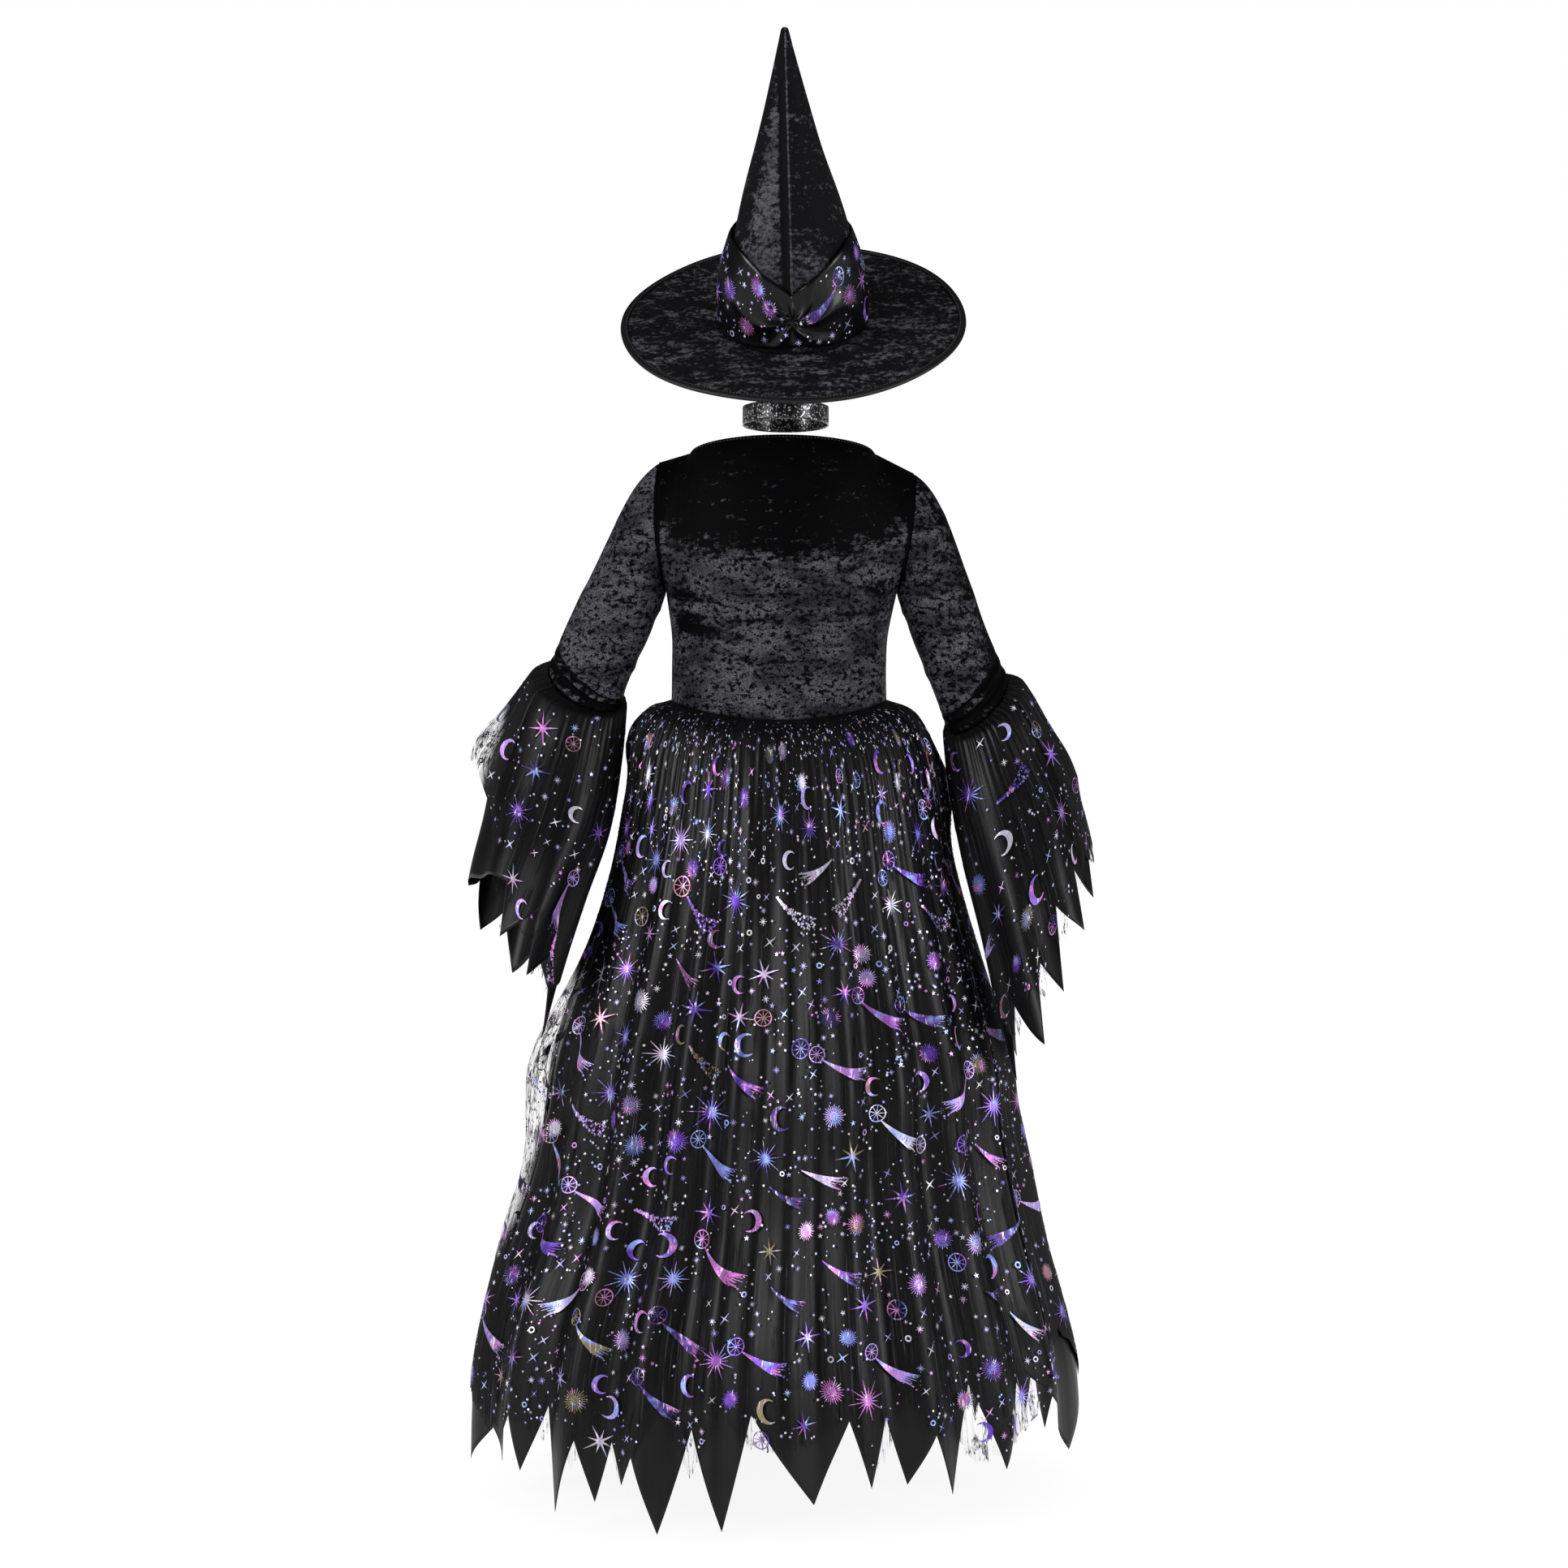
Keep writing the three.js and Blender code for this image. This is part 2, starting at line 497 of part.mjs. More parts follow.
// A front or back panel as a wall. Its side and shoulder seams stop short of the other panel, and
// its armhole has the same points as half the sleeve's first ring.
const BODICE = { low: 3, high: SLEEVE.columns / 2, shoulder: 2, neck: 12 };
function steps(from, to, count) {
  return Array.from({ length: count + 1 }, (_, i) => from + ((to - from) * i) / count);
}
function bodicePanel(panel) {
  const shoulder = steps(NECK.share, 1, BODICE.shoulder).slice(1);
  const right = shoulder.map((across) => -across).reverse();
  const acrosses = [...right, ...steps(-NECK.share, NECK.share, BODICE.neck), ...shoulder];
  const ups = [...steps(0, 1, BODICE.low), ...steps(1, 2, BODICE.high).slice(1)];
  const inset = point(0, (panel.way * SEAM_GAP) / 2, 0);
  const rings = ups.map((up) => acrosses.map((across) => onBodice(panel, across, up).add(inset)));
  const side = (r) => (ups[r] <= 1 ? point(0, 1, 0) : point(1, 0, 0));
  const top = (r, c) => (abs(acrosses[c]) >= NECK.share ? point(0, 1, 0) : point(0, 0, 1));
  return clothWall(rings, VELVET, { seams: { first: point(0, 0, 1), last: top, left: side, right: side } });
}
addPiece('bodice_back', bodicePanel(PANELS.back), crushedVelvet);
addPiece('bodice_front', bodicePanel(PANELS.front), crushedVelvet);

// The hat stands in its own group, tilted back and a little to the left, with its rim's middle
// at the group's origin and the back of the hat towards +Y.
const HAT = { x: -13, y: 0, height: 1407, tilt: 30, lean: 1.6 };
const hat = new THREE.Group();
hat.position.set(HAT.x, HAT.y, HAT.height);
hat.rotation.set(rad(-HAT.tilt), rad(HAT.lean), 0);
costume.add(hat);

// The cone is a little full near the rim and hollow near its blunt tip.
const HAT_COLUMNS = 36;
const CONE = { tip: 371, solidFrom: 340, thickness: 1.8, seamHeight: 1.6, seamHalfWidth: 5 };
const coneRadius = table(['height', 'radius'], [
  [0, 89], [60, 79.5], [124, 66], [225, 38.5], [285, 23.5], [345, 9.5], [366, 5],
]);
const CONE_HEIGHTS = [0, 30, 60, 95, 124, 175, 225, 285, 345, 366];
function turned(profile) {
  const outline = profile.map(([r, z]) => new THREE.Vector2(r, z));
  return new THREE.LatheGeometry(outline, HAT_COLUMNS, PI / 2).rotateX(PI / 2);
}
function coneWall() {
  const outside = CONE_HEIGHTS.map((z) => [coneRadius(z).radius, z]);
  const hollow = outside.filter(([, z]) => z < CONE.solidFrom);
  const inside = hollow.map(([r, z]) => [r - CONE.thickness, z]).reverse();
  const geometry = turned([[0, CONE.solidFrom], ...inside, ...outside, [0, CONE.tip]]);
  const place = geometry.attributes.position;
  for (let i = 0; i < place.count; i += 1) {
    const [x, y] = [place.getX(i), place.getY(i)];
    const ridge = CONE.seamHeight * bell(deg(atan2(x, y)), 0, CONE.seamHalfWidth);
    const grow = 1 + ridge / max(Math.hypot(x, y), CONE.seamHeight);
    place.setXY(i, x * grow, y * grow);
  }
  return geometry;
}
addPiece('hat_cone', coneWall(), crushedVelvet, hat);

// The flat brim under the cone, and the tape folded over its edge.
const BRIM = { inside: 86, outside: 205, top: -SEAM_GAP, thickness: 3 };
const TAPE = { width: 9, thickness: 1 };
const brimBottom = BRIM.top - BRIM.thickness;
const ring = (profile) => turned([...profile, profile[0]]);
addPiece('hat_brim', ring([
  [BRIM.inside, brimBottom], [BRIM.outside, brimBottom], [BRIM.outside, BRIM.top], [BRIM.inside, BRIM.top],
]), crushedVelvet, hat);
const slot = { top: BRIM.top + SEAM_GAP, bottom: brimBottom - SEAM_GAP, end: BRIM.outside + SEAM_GAP };
const tapeEdge = slot.end + TAPE.thickness;
const tapeStart = tapeEdge - TAPE.width;
addPiece('hat_brim_tape', ring([
  [tapeStart, slot.bottom - TAPE.thickness], [tapeEdge, slot.bottom - TAPE.thickness],
  [tapeEdge, slot.top + TAPE.thickness], [tapeStart, slot.top + TAPE.thickness],
  [tapeStart, slot.top], [slot.end, slot.top], [slot.end, slot.bottom], [tapeStart, slot.bottom],
]), edgeTape, hat);

// The hat's band is a wide strip round the cone, pinched to half its width at the back.
// It stands a little off the cone between its edges and at its top, and creases run to the pinch.
const BAND = {
  columns: 44, rows: 4, reach: 75, room: 2.4,
  low: 2, pinchedLow: 11, high: 117, pinchedHigh: 73,
  fullness: 2.6, topSlack: 2.2, crease: 1.2, pinchTo: 0.3,
};
function onBand(degrees, up) {
  const away = min(abs(turnBetween(degrees, 0)), BAND.reach) / BAND.reach;
  const open = sin((away * PI) / 2);
  const low = BAND.pinchedLow + (BAND.low - BAND.pinchedLow) * open;
  const high = BAND.pinchedHigh + (BAND.high - BAND.pinchedHigh) * open;
  const z = low + (high - low) * up;
  const creases = BAND.crease * sin(PI * (3 * up + 2 * open)) * (1 - open);
  const slack = BAND.fullness * sin(PI * up) + BAND.topSlack * open * up + creases;
  const ridge = CONE.seamHeight * bell(turnBetween(degrees, 0), 0, 2 * CONE.seamHalfWidth);
  const radius = coneRadius(z).radius + BAND.room + ridge + slack * smooth(away, 0, BAND.pinchTo);
  return point(radius * sin(rad(degrees)), radius * cos(rad(degrees)), z);
}
function bandWall() {
  const rings = steps(0, 1, BAND.rows).map((up) => (
    steps(0, 360, BAND.columns).slice(1).map((degrees) => onBand(degrees, up))
  ));
  return clothWall(rings, SATIN, { round: true });
}
addPiece('hat_band', bandWall(), printedSatin, hat);

// The choker is one strip whose ends lap over each other at the back. The lap is in degrees, and
// the strip rises over its other end between lapFrom and lapTo laps before a whole turn.
const CHOKER = {
  x: -4, y: -5, height: 1293, tilt: 7, halfWidth: 51.5, halfDepth: 56,
  width: 22, thickness: 1.2, lap: 26, lapRoom: 1.8, lapFrom: 2.4, lapTo: 0.7, columns: 36,
};
function chokerStrip() {
  const { halfWidth, halfDepth, width, lap, lapRoom, lapFrom, lapTo, columns } = CHOKER;
  const rings = [1, 0, -1].map((edge) => steps(-lap / 2, 360 + lap / 2, columns).map((degrees) => {
    const out = lapRoom * smooth(degrees, 360 - lapFrom * lap, 360 - lapTo * lap);
    const angle = rad(degrees);
    return point((halfWidth + out) * sin(angle), (halfDepth + out) * cos(angle), (edge * width) / 2);
  }));
  return clothWall(rings, CHOKER.thickness);
}
const choker = addPiece('choker', chokerStrip(), glitterBand);
choker.position.set(CHOKER.x, CHOKER.y, CHOKER.height);
choker.rotation.x = rad(CHOKER.tilt);

costume.position.z = -SHOULDER_LINE;

export default costume;
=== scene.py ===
# %% [markdown]
# # A witch's dress with its pointed hat and choker
#
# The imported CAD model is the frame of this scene. It holds each piece of cloth as a plain closed
# wall, in metres, with the middle of the shoulder line at the origin. Each piece is made again
# here as fine cloth on the same formulas, so it lies where its wall lies and gains the pleats,
# seams, nap and foil print that the wall lacks. A cloth simulation could drape the dress too.
# Formulas were chosen because satin, net and print then share one surface, so nothing cuts
# through anything else and every run gives the same folds.

import bmesh
import bpy
import numpy as np
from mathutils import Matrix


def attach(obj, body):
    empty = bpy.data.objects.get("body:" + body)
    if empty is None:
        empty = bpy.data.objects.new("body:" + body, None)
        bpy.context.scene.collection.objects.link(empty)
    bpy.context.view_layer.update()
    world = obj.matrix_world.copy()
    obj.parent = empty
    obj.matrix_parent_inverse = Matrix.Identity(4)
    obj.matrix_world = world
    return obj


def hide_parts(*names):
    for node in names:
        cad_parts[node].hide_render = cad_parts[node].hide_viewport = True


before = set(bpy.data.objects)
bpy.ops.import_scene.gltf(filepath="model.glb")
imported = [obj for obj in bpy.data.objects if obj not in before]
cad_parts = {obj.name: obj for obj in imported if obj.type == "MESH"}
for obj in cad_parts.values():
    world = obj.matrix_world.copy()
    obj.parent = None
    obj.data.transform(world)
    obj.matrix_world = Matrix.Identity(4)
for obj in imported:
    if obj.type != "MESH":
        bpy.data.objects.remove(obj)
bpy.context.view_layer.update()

# %% [markdown]
# ## The camera
#
# The dress is seen from behind, from 4.5 m away and level with the bodice, with a long lens that
# looks slightly down. The lens follows from the picture: its width in pixels and the focal length
# in pixels give the millimetres of a 36 mm sensor.

# %% Camera
SENSOR_MM = 36
PICTURE_PX = 1932
FOCAL_PX = 4620
CAMERA_AT = (-0.002, 4.5, -0.1)
CAMERA_PITCH = 3.78

lens = bpy.data.cameras.new("back_view")
lens.sensor_width = SENSOR_MM
lens.lens = SENSOR_MM * FOCAL_PX / PICTURE_PX
camera = bpy.data.objects.new("back_view", lens)
camera.location = CAMERA_AT
camera.rotation_euler = np.radians([90 - CAMERA_PITCH, 0, 180])
bpy.context.scene.collection.objects.link(camera)
bpy.context.scene.camera = camera
print("lens in mm:", round(lens.lens, 1))

# %% [markdown]
# ## Small helpers
#
# Cloth sizes are easiest to think of in millimetres above the ground, so the tables below use
# those, and one function moves finished points into the frame. The other helpers are the three
# curves that all the folds are made of, and one that reads a table of sizes on a smooth line.

# %% Millimetres, curves and tables
MM = 0.001
SHOULDER_LINE = 1250


def in_frame(points):
    """Metres from the shoulder line: x and y are millimetres / 1000, and z is (height - 1250) / 1000."""
    return (points - np.array([0, 0, SHOULDER_LINE])) * MM


def bell(x, middle, half_width):
    """A hump of height 1: e to the power of minus ((x - middle) / half_width) squared."""
    return np.exp(-(((x - middle) / half_width) ** 2))


def smooth(x, low, high):
    """0 below low, 1 above high and 3 t^2 - 2 t^3 between, where t is the share of the way."""
    t = np.clip((x - low) / (high - low), 0, 1)
    return t * t * (3 - 2 * t)


def turn_between(a, b):
    """Degrees from b to a, the short way round."""
    return ((a - b) % 360 + 540) % 360 - 180


def vector(x, y, z):
    """Puts three arrays of coordinates together as points."""
    return np.stack(np.broadcast_arrays(x, y, z), -1)


def unit(vectors):
    """Each vector divided by its length."""
    return vectors / np.maximum(np.linalg.norm(vectors, axis=-1, keepdims=True), 1e-12)


def smooth_table(rows):
    """Reads a table at any place along its first column. Between two rows the value is a cubic,
    whose slope at each row is the next row minus the one before, over the distance between them."""
    data = np.array(rows, float)
    x, values = data[:, 0], data[:, 1:]
    before = np.clip(np.arange(len(x)) - 1, 0, None)
    after = np.clip(np.arange(len(x)) + 1, None, len(x) - 1)
    slopes = (values[after] - values[before]) / (x[after] - x[before])[:, None]

    def read(place):
        place = np.clip(place, x[0], x[-1])
        i = np.clip(np.searchsorted(x, place) - 1, 0, len(x) - 2)
        span = (x[i + 1] - x[i])[..., None]
        t = (place - x[i])[..., None] / span
        rise = values[i + 1] - values[i]
        start, end = slopes[i] * span, slopes[i + 1] * span
        curve = values[i] + t * (start + t * (3 * rise - 2 * start - end + t * (start + end - 2 * rise)))
        return np.moveaxis(curve, -1, 0)

    return read


# %% [markdown]
# ## From a grid of points to cloth
#
# A piece of cloth is a grid of points, rows by columns, worked out as one array. The grid becomes
# a mesh of quads whose faces point outwards, with a UV map that holds the real millimetres of the
# cloth, so that a weave keeps its size. A ring's last column repeats its first, and merging the
# doubles closes the seam. A Solidify modifier gives the wall its thickness, inwards.

# %% Cloth from a grid
def add_mesh(name, points, faces, material):
    """A mesh of faces that all have the same number of corners, which rides on the frame."""
    mesh = bpy.data.meshes.new(name)
    mesh.vertices.add(len(points))
    mesh.vertices.foreach_set("co", np.asarray(points, np.float32).ravel())
    mesh.loops.add(faces.size)
    mesh.loops.foreach_set("vertex_index", faces.astype(np.int32).ravel())
    mesh.polygons.add(len(faces))
    starts = np.arange(0, faces.size, faces.shape[1], dtype=np.int32)
    mesh.polygons.foreach_set("loop_start", starts)
    mesh.update(calc_edges=True)
    mesh.shade_smooth()
    mesh.materials.append(material)
    piece = bpy.data.objects.new(name, mesh)
    bpy.context.scene.collection.objects.link(piece)
    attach(piece, "root")
    return piece


def grid_steps(points):
    """The steps to the next column and to the next row, also over the seam of a ring."""
    if np.allclose(points[:, 0], points[:, -1]):
        round_again = np.concatenate([points[:, -2:-1], points, points[:, 1:2]], 1)
        across = (round_again[:, 2:] - round_again[:, :-2]) / 2
    else:
        across = np.gradient(points, axis=1)
    return across, np.gradient(points, axis=0)


def outward_normals(points):
    """The cross product of the two steps at each point, turned away from the middle of the piece."""
    normals = np.cross(*grid_steps(points))
    facing = ((points - points.mean((0, 1))) * normals).sum()
    return unit(normals) * np.sign(facing), np.sign(facing)


def close_doubles(piece):
    """Merges points that lie on each other: a ring's seam, or the ring at a pole."""
    work = bmesh.new()
    work.from_mesh(piece.data)
    bmesh.ops.remove_doubles(work, verts=work.verts, dist=0.01 * MM)
    work.to_mesh(piece.data)
    work.free()


def add_cloth(name, points, cloth_mm, material, thickness=0, **point_values):
    """Quads between neighbouring points of a grid. cloth_mm is each point's place on the flat cloth.
    point_values are numbers that a material reads at each point, such as the velvet's painted sheen."""
    rows, columns = points.shape[:2]
    row, column = np.mgrid[: rows - 1, : columns - 1]
    corner = row * columns + column
    faces = np.stack([corner, corner + 1, corner + columns + 1, corner + columns], -1).reshape(-1, 4)
    if outward_normals(points)[1] < 0:
        faces = faces[:, ::-1]
    piece = add_mesh(name, in_frame(points).reshape(-1, 3), faces, material)
    flat = np.stack(np.broadcast_arrays(*cloth_mm), -1).reshape(-1, 2) * MM
    piece.data.uv_layers.new(name="cloth").data.foreach_set("uv", flat[faces.ravel()].ravel())
    for label, values in point_values.items():
        layer = piece.data.attributes.new(label, "FLOAT", "POINT")
        layer.data.foreach_set("value", np.broadcast_to(values, (rows, columns)).astype(np.float32).ravel())
    close_doubles(piece)
    if thickness:
        wall = piece.modifiers.new("wall", "SOLIDIFY")
        wall.thickness = thickness * MM
        wall.offset = -1
    return piece


def area_of(piece):
    """Square metres of the mesh before its wall is thickened."""
    areas = np.zeros(len(piece.data.polygons))
    piece.data.polygons.foreach_get("area", areas)
    return areas.sum()


# %% [markdown]
# ## Materials
#
# Each material starts from what the real cloth is and how it was made. Two helpers keep the node
# trees short: one turns a hex colour into the linear numbers that a shader needs, and one adds a
# node with its settings and links. Patterns read Object coordinates or the cloth's own UV map, so
# they stay put when the view changes.

# %% Colours and nodes
def colour(hex_code):
    """sRGB hex to linear: ((c + 0.055) / 1.055) ^ 2.4, or c / 12.92 for the darkest values."""
    parts = np.array([int(hex_code[i : i + 2], 16) for i in (1, 3, 5)]) / 255
    linear = np.where(parts > 0.04045, ((parts + 0.055) / 1.055) ** 2.4, parts / 12.92)
    return (*linear, 1.0)


def add_node(tree, kind, inputs=(), output=0, **settings):
    """Adds a node and returns one of its outputs. settings are its properties. inputs are its sockets
    in their order, or by name or number, and each is a value or another node's output to link."""
    node = tree.nodes.new(f"ShaderNode{kind}")
    for name, value in settings.items():
        setattr(node, name, value)
    for place, value in inputs.items() if isinstance(inputs, dict) else enumerate(inputs):
        if isinstance(value, bpy.types.NodeSocket):
            tree.links.new(value, node.inputs[place])
        else:
            node.inputs[place].default_value = value
    return node.outputs[output]


def new_material(name, **shader_values):
    """A material with its shader's own sockets set. Returns it with its tree and the shader."""
    material = bpy.data.materials.new(name)
    material.use_nodes = True
    tree = material.node_tree
    shader = tree.nodes["Principled BSDF"]
    for socket, value in shader_values.items():
        shader.inputs[socket.replace("_", " ")].default_value = value
    return material, tree, shader


def feed(tree, shader, **patterns):
    """Links each pattern to the shader's socket of that name."""
    for socket, pattern in patterns.items():
        tree.links.new(pattern, shader.inputs[socket.replace("_", " ")])


def spots(tree, place, table):
    """One noise for each row of a table: its size in mm along X, Y and Z of the place that it reads,
    its detail and its roughness. A noise runs from about 0.3 to 0.7, with a half as its middle."""
    made = []
    for size_mm, detail, roughness in table.values():
        scale = [1 / (size * MM) for size in size_mm]
        sized = add_node(tree, "Mapping", {"Vector": place, "Scale": scale})
        settings = {"Vector": sized, "Scale": 1.0, "Detail": detail, "Roughness": roughness}
        made.append(add_node(tree, "TexNoise", settings))
    return made


# %% [markdown]
# ### Crushed velvet
#
# Crushed polyester velvet is a knit with a short pile that was pressed flat in all directions.
# Its sheen is painted into the base colour: grey is painted sheen, where the pile lies towards the
# light, and deep black is where it stands or lies away, in crinkled flakes of a few millimetres
# inside patches of about 70 mm. The flakes are noise, drawn wider than high because the knit
# stretches sideways. The cloth's own painted sheen value says where whole panels are painted dark
# as shade and where grey as sheen, and the noise breaks up the border between the two. The hat's
# velvet is stiffened from behind, which evens out the crush.

# %% Crushed velvet
VELVET_SPOTS = {  # size in mm along X, Y and Z, detail, roughness
    "patches": ((70, 70, 32), 2.0, 0.55), "streaks": ((34, 34, 9), 5.0, 0.55),
    "flakes": ((7.0, 7.0, 4.6), 5.0, 0.65), "grains": ((1.6, 1.6, 1.4), 1.0, 0.55),
}


def crushed_velvet(name, calm, black):
    """Black polyester pile, IOR 1.5, rough, with a faint sheen. The grey of its base colour is painted
    sheen: the painted sheen value, streaks and flakes added up, times what each noise leaves of it.
    calm runs from 0 to 1 and evens out the crush, as a stiff backing does."""
    material, tree, shader = new_material(
        name, Roughness=0.65, Sheen_Weight=0.012, Sheen_Roughness=0.35, Specular_IOR_Level=0.03
    )
    place = add_node(tree, "TexCoord", output="Object")
    nap = add_node(tree, "Attribute", output="Fac", attribute_name="nap")
    patches, streaks, flakes, grains = spots(tree, place, VELVET_SPOTS)
    for noise, reach in ((streaks, 0.3), (flakes, 0.4)):
        uneven = add_node(tree, "MapRange", (noise, 0.3, 0.7, -reach, reach))
        nap = add_node(tree, "Math", (nap, uneven), operation="ADD")
    share = add_node(tree, "MapRange", (nap, 0.3, 0.7))
    leaves = [  # noise, its dark end, its grey end, share left at the dark end
        (patches, 0.38, 0.56, 0.3 + 0.5 * calm), (streaks, 0.36, 0.5, 0.5 + 0.4 * calm),
        (flakes, 0.43, 0.5 + 0.06 * calm, 0.6 * calm), (grains, 0.38, 0.62, 0.25 + 0.4 * calm),
    ]
    for noise, dark, grey, left in leaves:
        part = add_node(tree, "MapRange", (noise, dark, grey, left, 1.0))
        share = add_node(tree, "Math", (share, part), operation="MULTIPLY")
    # The grey #4d4c52 mixed in here is painted sheen, and the black where it is missing is painted shade.
    pile = add_node(tree, "Mix", {0: share, 6: colour(black), 7: colour("#4d4c52")}, 2, data_type="RGBA")
    height = add_node(tree, "Math", (grains, 0.4, flakes), operation="MULTIPLY_ADD")
    relief = add_node(tree, "Bump", {"Height": height, "Distance": 0.9 * MM, "Strength": 0.5})
    feed(tree, shader, Base_Color=pile, Normal=relief)
    return material


VELVET_CLOTH = crushed_velvet("crushed_polyester_velvet", 0.0, "#020203")
HAT_VELVET = crushed_velvet("stiffened_crushed_velvet", 0.6, "#0b0b0d")

# %% [markdown]
# ### Black satin
#
# Costume satin is woven polyester with long floats on its face, which throw back a soft broad
# light along the folds. The weave is far too fine to show at this distance, so what is drawn is
# what the eye does see: faint lengthways streaks of tension and a slightly uneven gloss. Threads
# are drawn 1.2 mm wide, which is several times their real width, so that they show at all.

# %% Black satin
SATIN_SPOTS = {  # size in mm across, along and off the cloth, detail, roughness
    "streaks": ((5, 300, 5), 3.0, 0.55), "clouds": ((60, 90, 60), 3.0, 0.55),
    "threads": ((1.2, 1.2, 1.2), 1.0, 0.55),
}


def satin(name, base, smoothest, roughest, gloss):
    """Woven polyester, IOR 1.5. Its roughness varies in streaks 5 mm wide and 300 mm long."""
    material, tree, shader = new_material(name, Specular_IOR_Level=gloss)
    place = add_node(tree, "UVMap", uv_map="cloth")
    streaks, clouds, threads = spots(tree, place, SATIN_SPOTS)
    cloudy = add_node(tree, "MapRange", (clouds, 0.4, 0.7))
    woven = add_node(tree, "MapRange", (threads, 0.3, 0.7, 0.4, 1.0))
    pale = add_node(tree, "Math", (cloudy, woven), operation="MULTIPLY")
    black = add_node(tree, "Mix", {0: pale, 6: colour(base), 7: colour("#0d0d0f")}, 2, data_type="RGBA")
    rough = add_node(tree, "MapRange", (streaks, 0.3, 0.7, smoothest, roughest))
    height = add_node(tree, "Math", (threads, 0.2, streaks), operation="MULTIPLY_ADD")
    relief = add_node(tree, "Bump", {"Height": height, "Distance": 0.5 * MM, "Strength": 0.3})
    feed(tree, shader, Base_Color=black, Roughness=rough, Normal=relief)
    return material


SATIN_CLOTH = satin("black_costume_satin", "#030304", 0.34, 0.5, 0.24)
BAND_SATIN = satin("printed_band_satin", "#020203", 0.22, 0.32, 0.2)

# %% [markdown]
# ### Net
#
# The top layer is soft nylon tulle. Its holes are about 1 mm wide, less than a pixel here, so the
# shader keeps only what they do together: a thin black veil that is denser where small gathers
# run down the cloth. Edge-on the eye looks along many threads, so the veil closes up at the two
# sides. Where the net stands free, light comes through and only its crumples are drawn as lines.
# The alpha of the shader carries all this, because an exported model keeps that.

# %% Net
NET_SPOTS = {  # size in mm across, along and off the cloth, detail, roughness
    "streaks": ((3, 200, 3), 4.0, 0.62), "creases": ((11, 110, 11), 4.0, 0.55),
    "cells": ((1.6, 1.6, 1.6), 0.0, 0.55), "blots": ((16, 34, 16), 5.0, 0.7),
}


def tulle():
    """Nylon net as a veil: alpha 0.1 between gathers, up to 1 on a crease or edge-on, and nearly
    nothing where it stands free, but for crumple lines, which are where a noise crosses a half."""
    material, tree, shader = new_material("black_nylon_tulle", Roughness=0.7, Specular_IOR_Level=0.2)
    place = add_node(tree, "UVMap", uv_map="cloth")
    free, dense = [add_node(tree, "Attribute", (), "Fac", attribute_name=name) for name in ("free", "dense")]
    streaks, creases, cells, blots = spots(tree, place, NET_SPOTS)
    veil = add_node(tree, "MapRange", (streaks, 0.5, 0.68, 0.1, 0.5))
    for noise, low, high, most in ((cells, 0.3, 0.7, 0.06), (creases, 0.58, 0.63, 0.6)):
        more = add_node(tree, "MapRange", (noise, low, high, 0.0, most))
        veil = add_node(tree, "Math", (veil, more), operation="ADD")
    thinned = add_node(tree, "MapRange", (free, 0, 1, 1.0, 0.2))
    veil = add_node(tree, "Math", (veil, thinned), operation="MULTIPLY")
    from_half = add_node(tree, "Math", (creases, 0.5), operation="SUBTRACT")
    from_half = add_node(tree, "Math", (from_half,), operation="ABSOLUTE")
    lines = add_node(tree, "MapRange", (from_half, 0.0, 0.02, 1.0, 0.0))
    doubled = add_node(tree, "MapRange", (blots, 0.56, 0.62, 0.0, 0.8))
    crumples = add_node(tree, "Math", (lines, doubled), operation="ADD")
    veil = add_node(tree, "Math", (crumples, free, veil), operation="MULTIPLY_ADD")
    veil = add_node(tree, "Math", (dense, 0.9, veil), operation="MULTIPLY_ADD")
    veil = add_node(tree, "Math", (veil, 1.0), operation="MINIMUM")
    # The paler grey #3c3c42 along the streaks is a painted highlight on the gathers.
    lit = add_node(tree, "MapRange", (streaks, 0.58, 0.74))
    tint = add_node(tree, "Mix", {0: lit, 6: colour("#060607"), 7: colour("#3c3c42")}, 2, data_type="RGBA")
    feed(tree, shader, Base_Color=tint, Alpha=veil)
    return material


NET_CLOTH = tulle()

# %% [markdown]
# ### Foil, glitter, tape and thread
#
# The print is hot-stamped iridescent foil: a very thin metal film that shifts from violet to pink
# and ice blue and breaks up a little along the threads of the net. The choker is ribbon covered
# with cut glitter, so each flake is a tiny mirror at its own angle. The hat's edge is bound with
# black satin tape, and the seams are sewn with black polyester thread.

# %% Foil and glitter
FOIL_SPOTS = {  # size in mm along X, Y and Z, detail, roughness
    "drift": ((25, 25, 25), 2.0, 0.55), "streaks": ((3, 3, 60), 2.0, 0.55),
    "sparkle": ((1.5, 1.5, 1.5), 2.0, 0.55),
}
FLAKE_MM = 1.5


def foil():
    """Metal film under a lacquer, metallic 0.55. Its own tint drifts over 25 mm and sparkles over 1.5 mm, and
    painted highlights run down it in pale streaks.
    """
    material, tree, shader = new_material("iridescent_hot_foil", Metallic=0.55)
    place = add_node(tree, "TexCoord", output="Object")
    film = add_node(tree, "Attribute", output="Color", attribute_name="tint")
    drift, streaks, sparkle = spots(tree, place, FOIL_SPOTS)
    # The pale #f4f0ff in the streaks is a painted highlight.
    shifts = [  # noise, where the colour starts, where it is full, its share there, the colour
        (drift, 0.54, 0.68, 1.0, "#8a9ce8"), (drift, 0.42, 0.32, 1.0, "#c97cc8"),
        (streaks, 0.58, 0.7, 0.75, "#f4f0ff"), (sparkle, 0.46, 0.3, 0.8, "#1a1622"),
    ]
    for noise, start, full, most, code in shifts:
        share = add_node(tree, "MapRange", (noise, start, full, 0.0, most))
        film = add_node(tree, "Mix", {0: share, 6: film, 7: colour(code)}, 2, data_type="RGBA")
    rough = add_node(tree, "MapRange", (sparkle, 0.3, 0.7, 0.55, 0.35))
    feed(tree, shader, Base_Color=film, Roughness=rough)
    return material


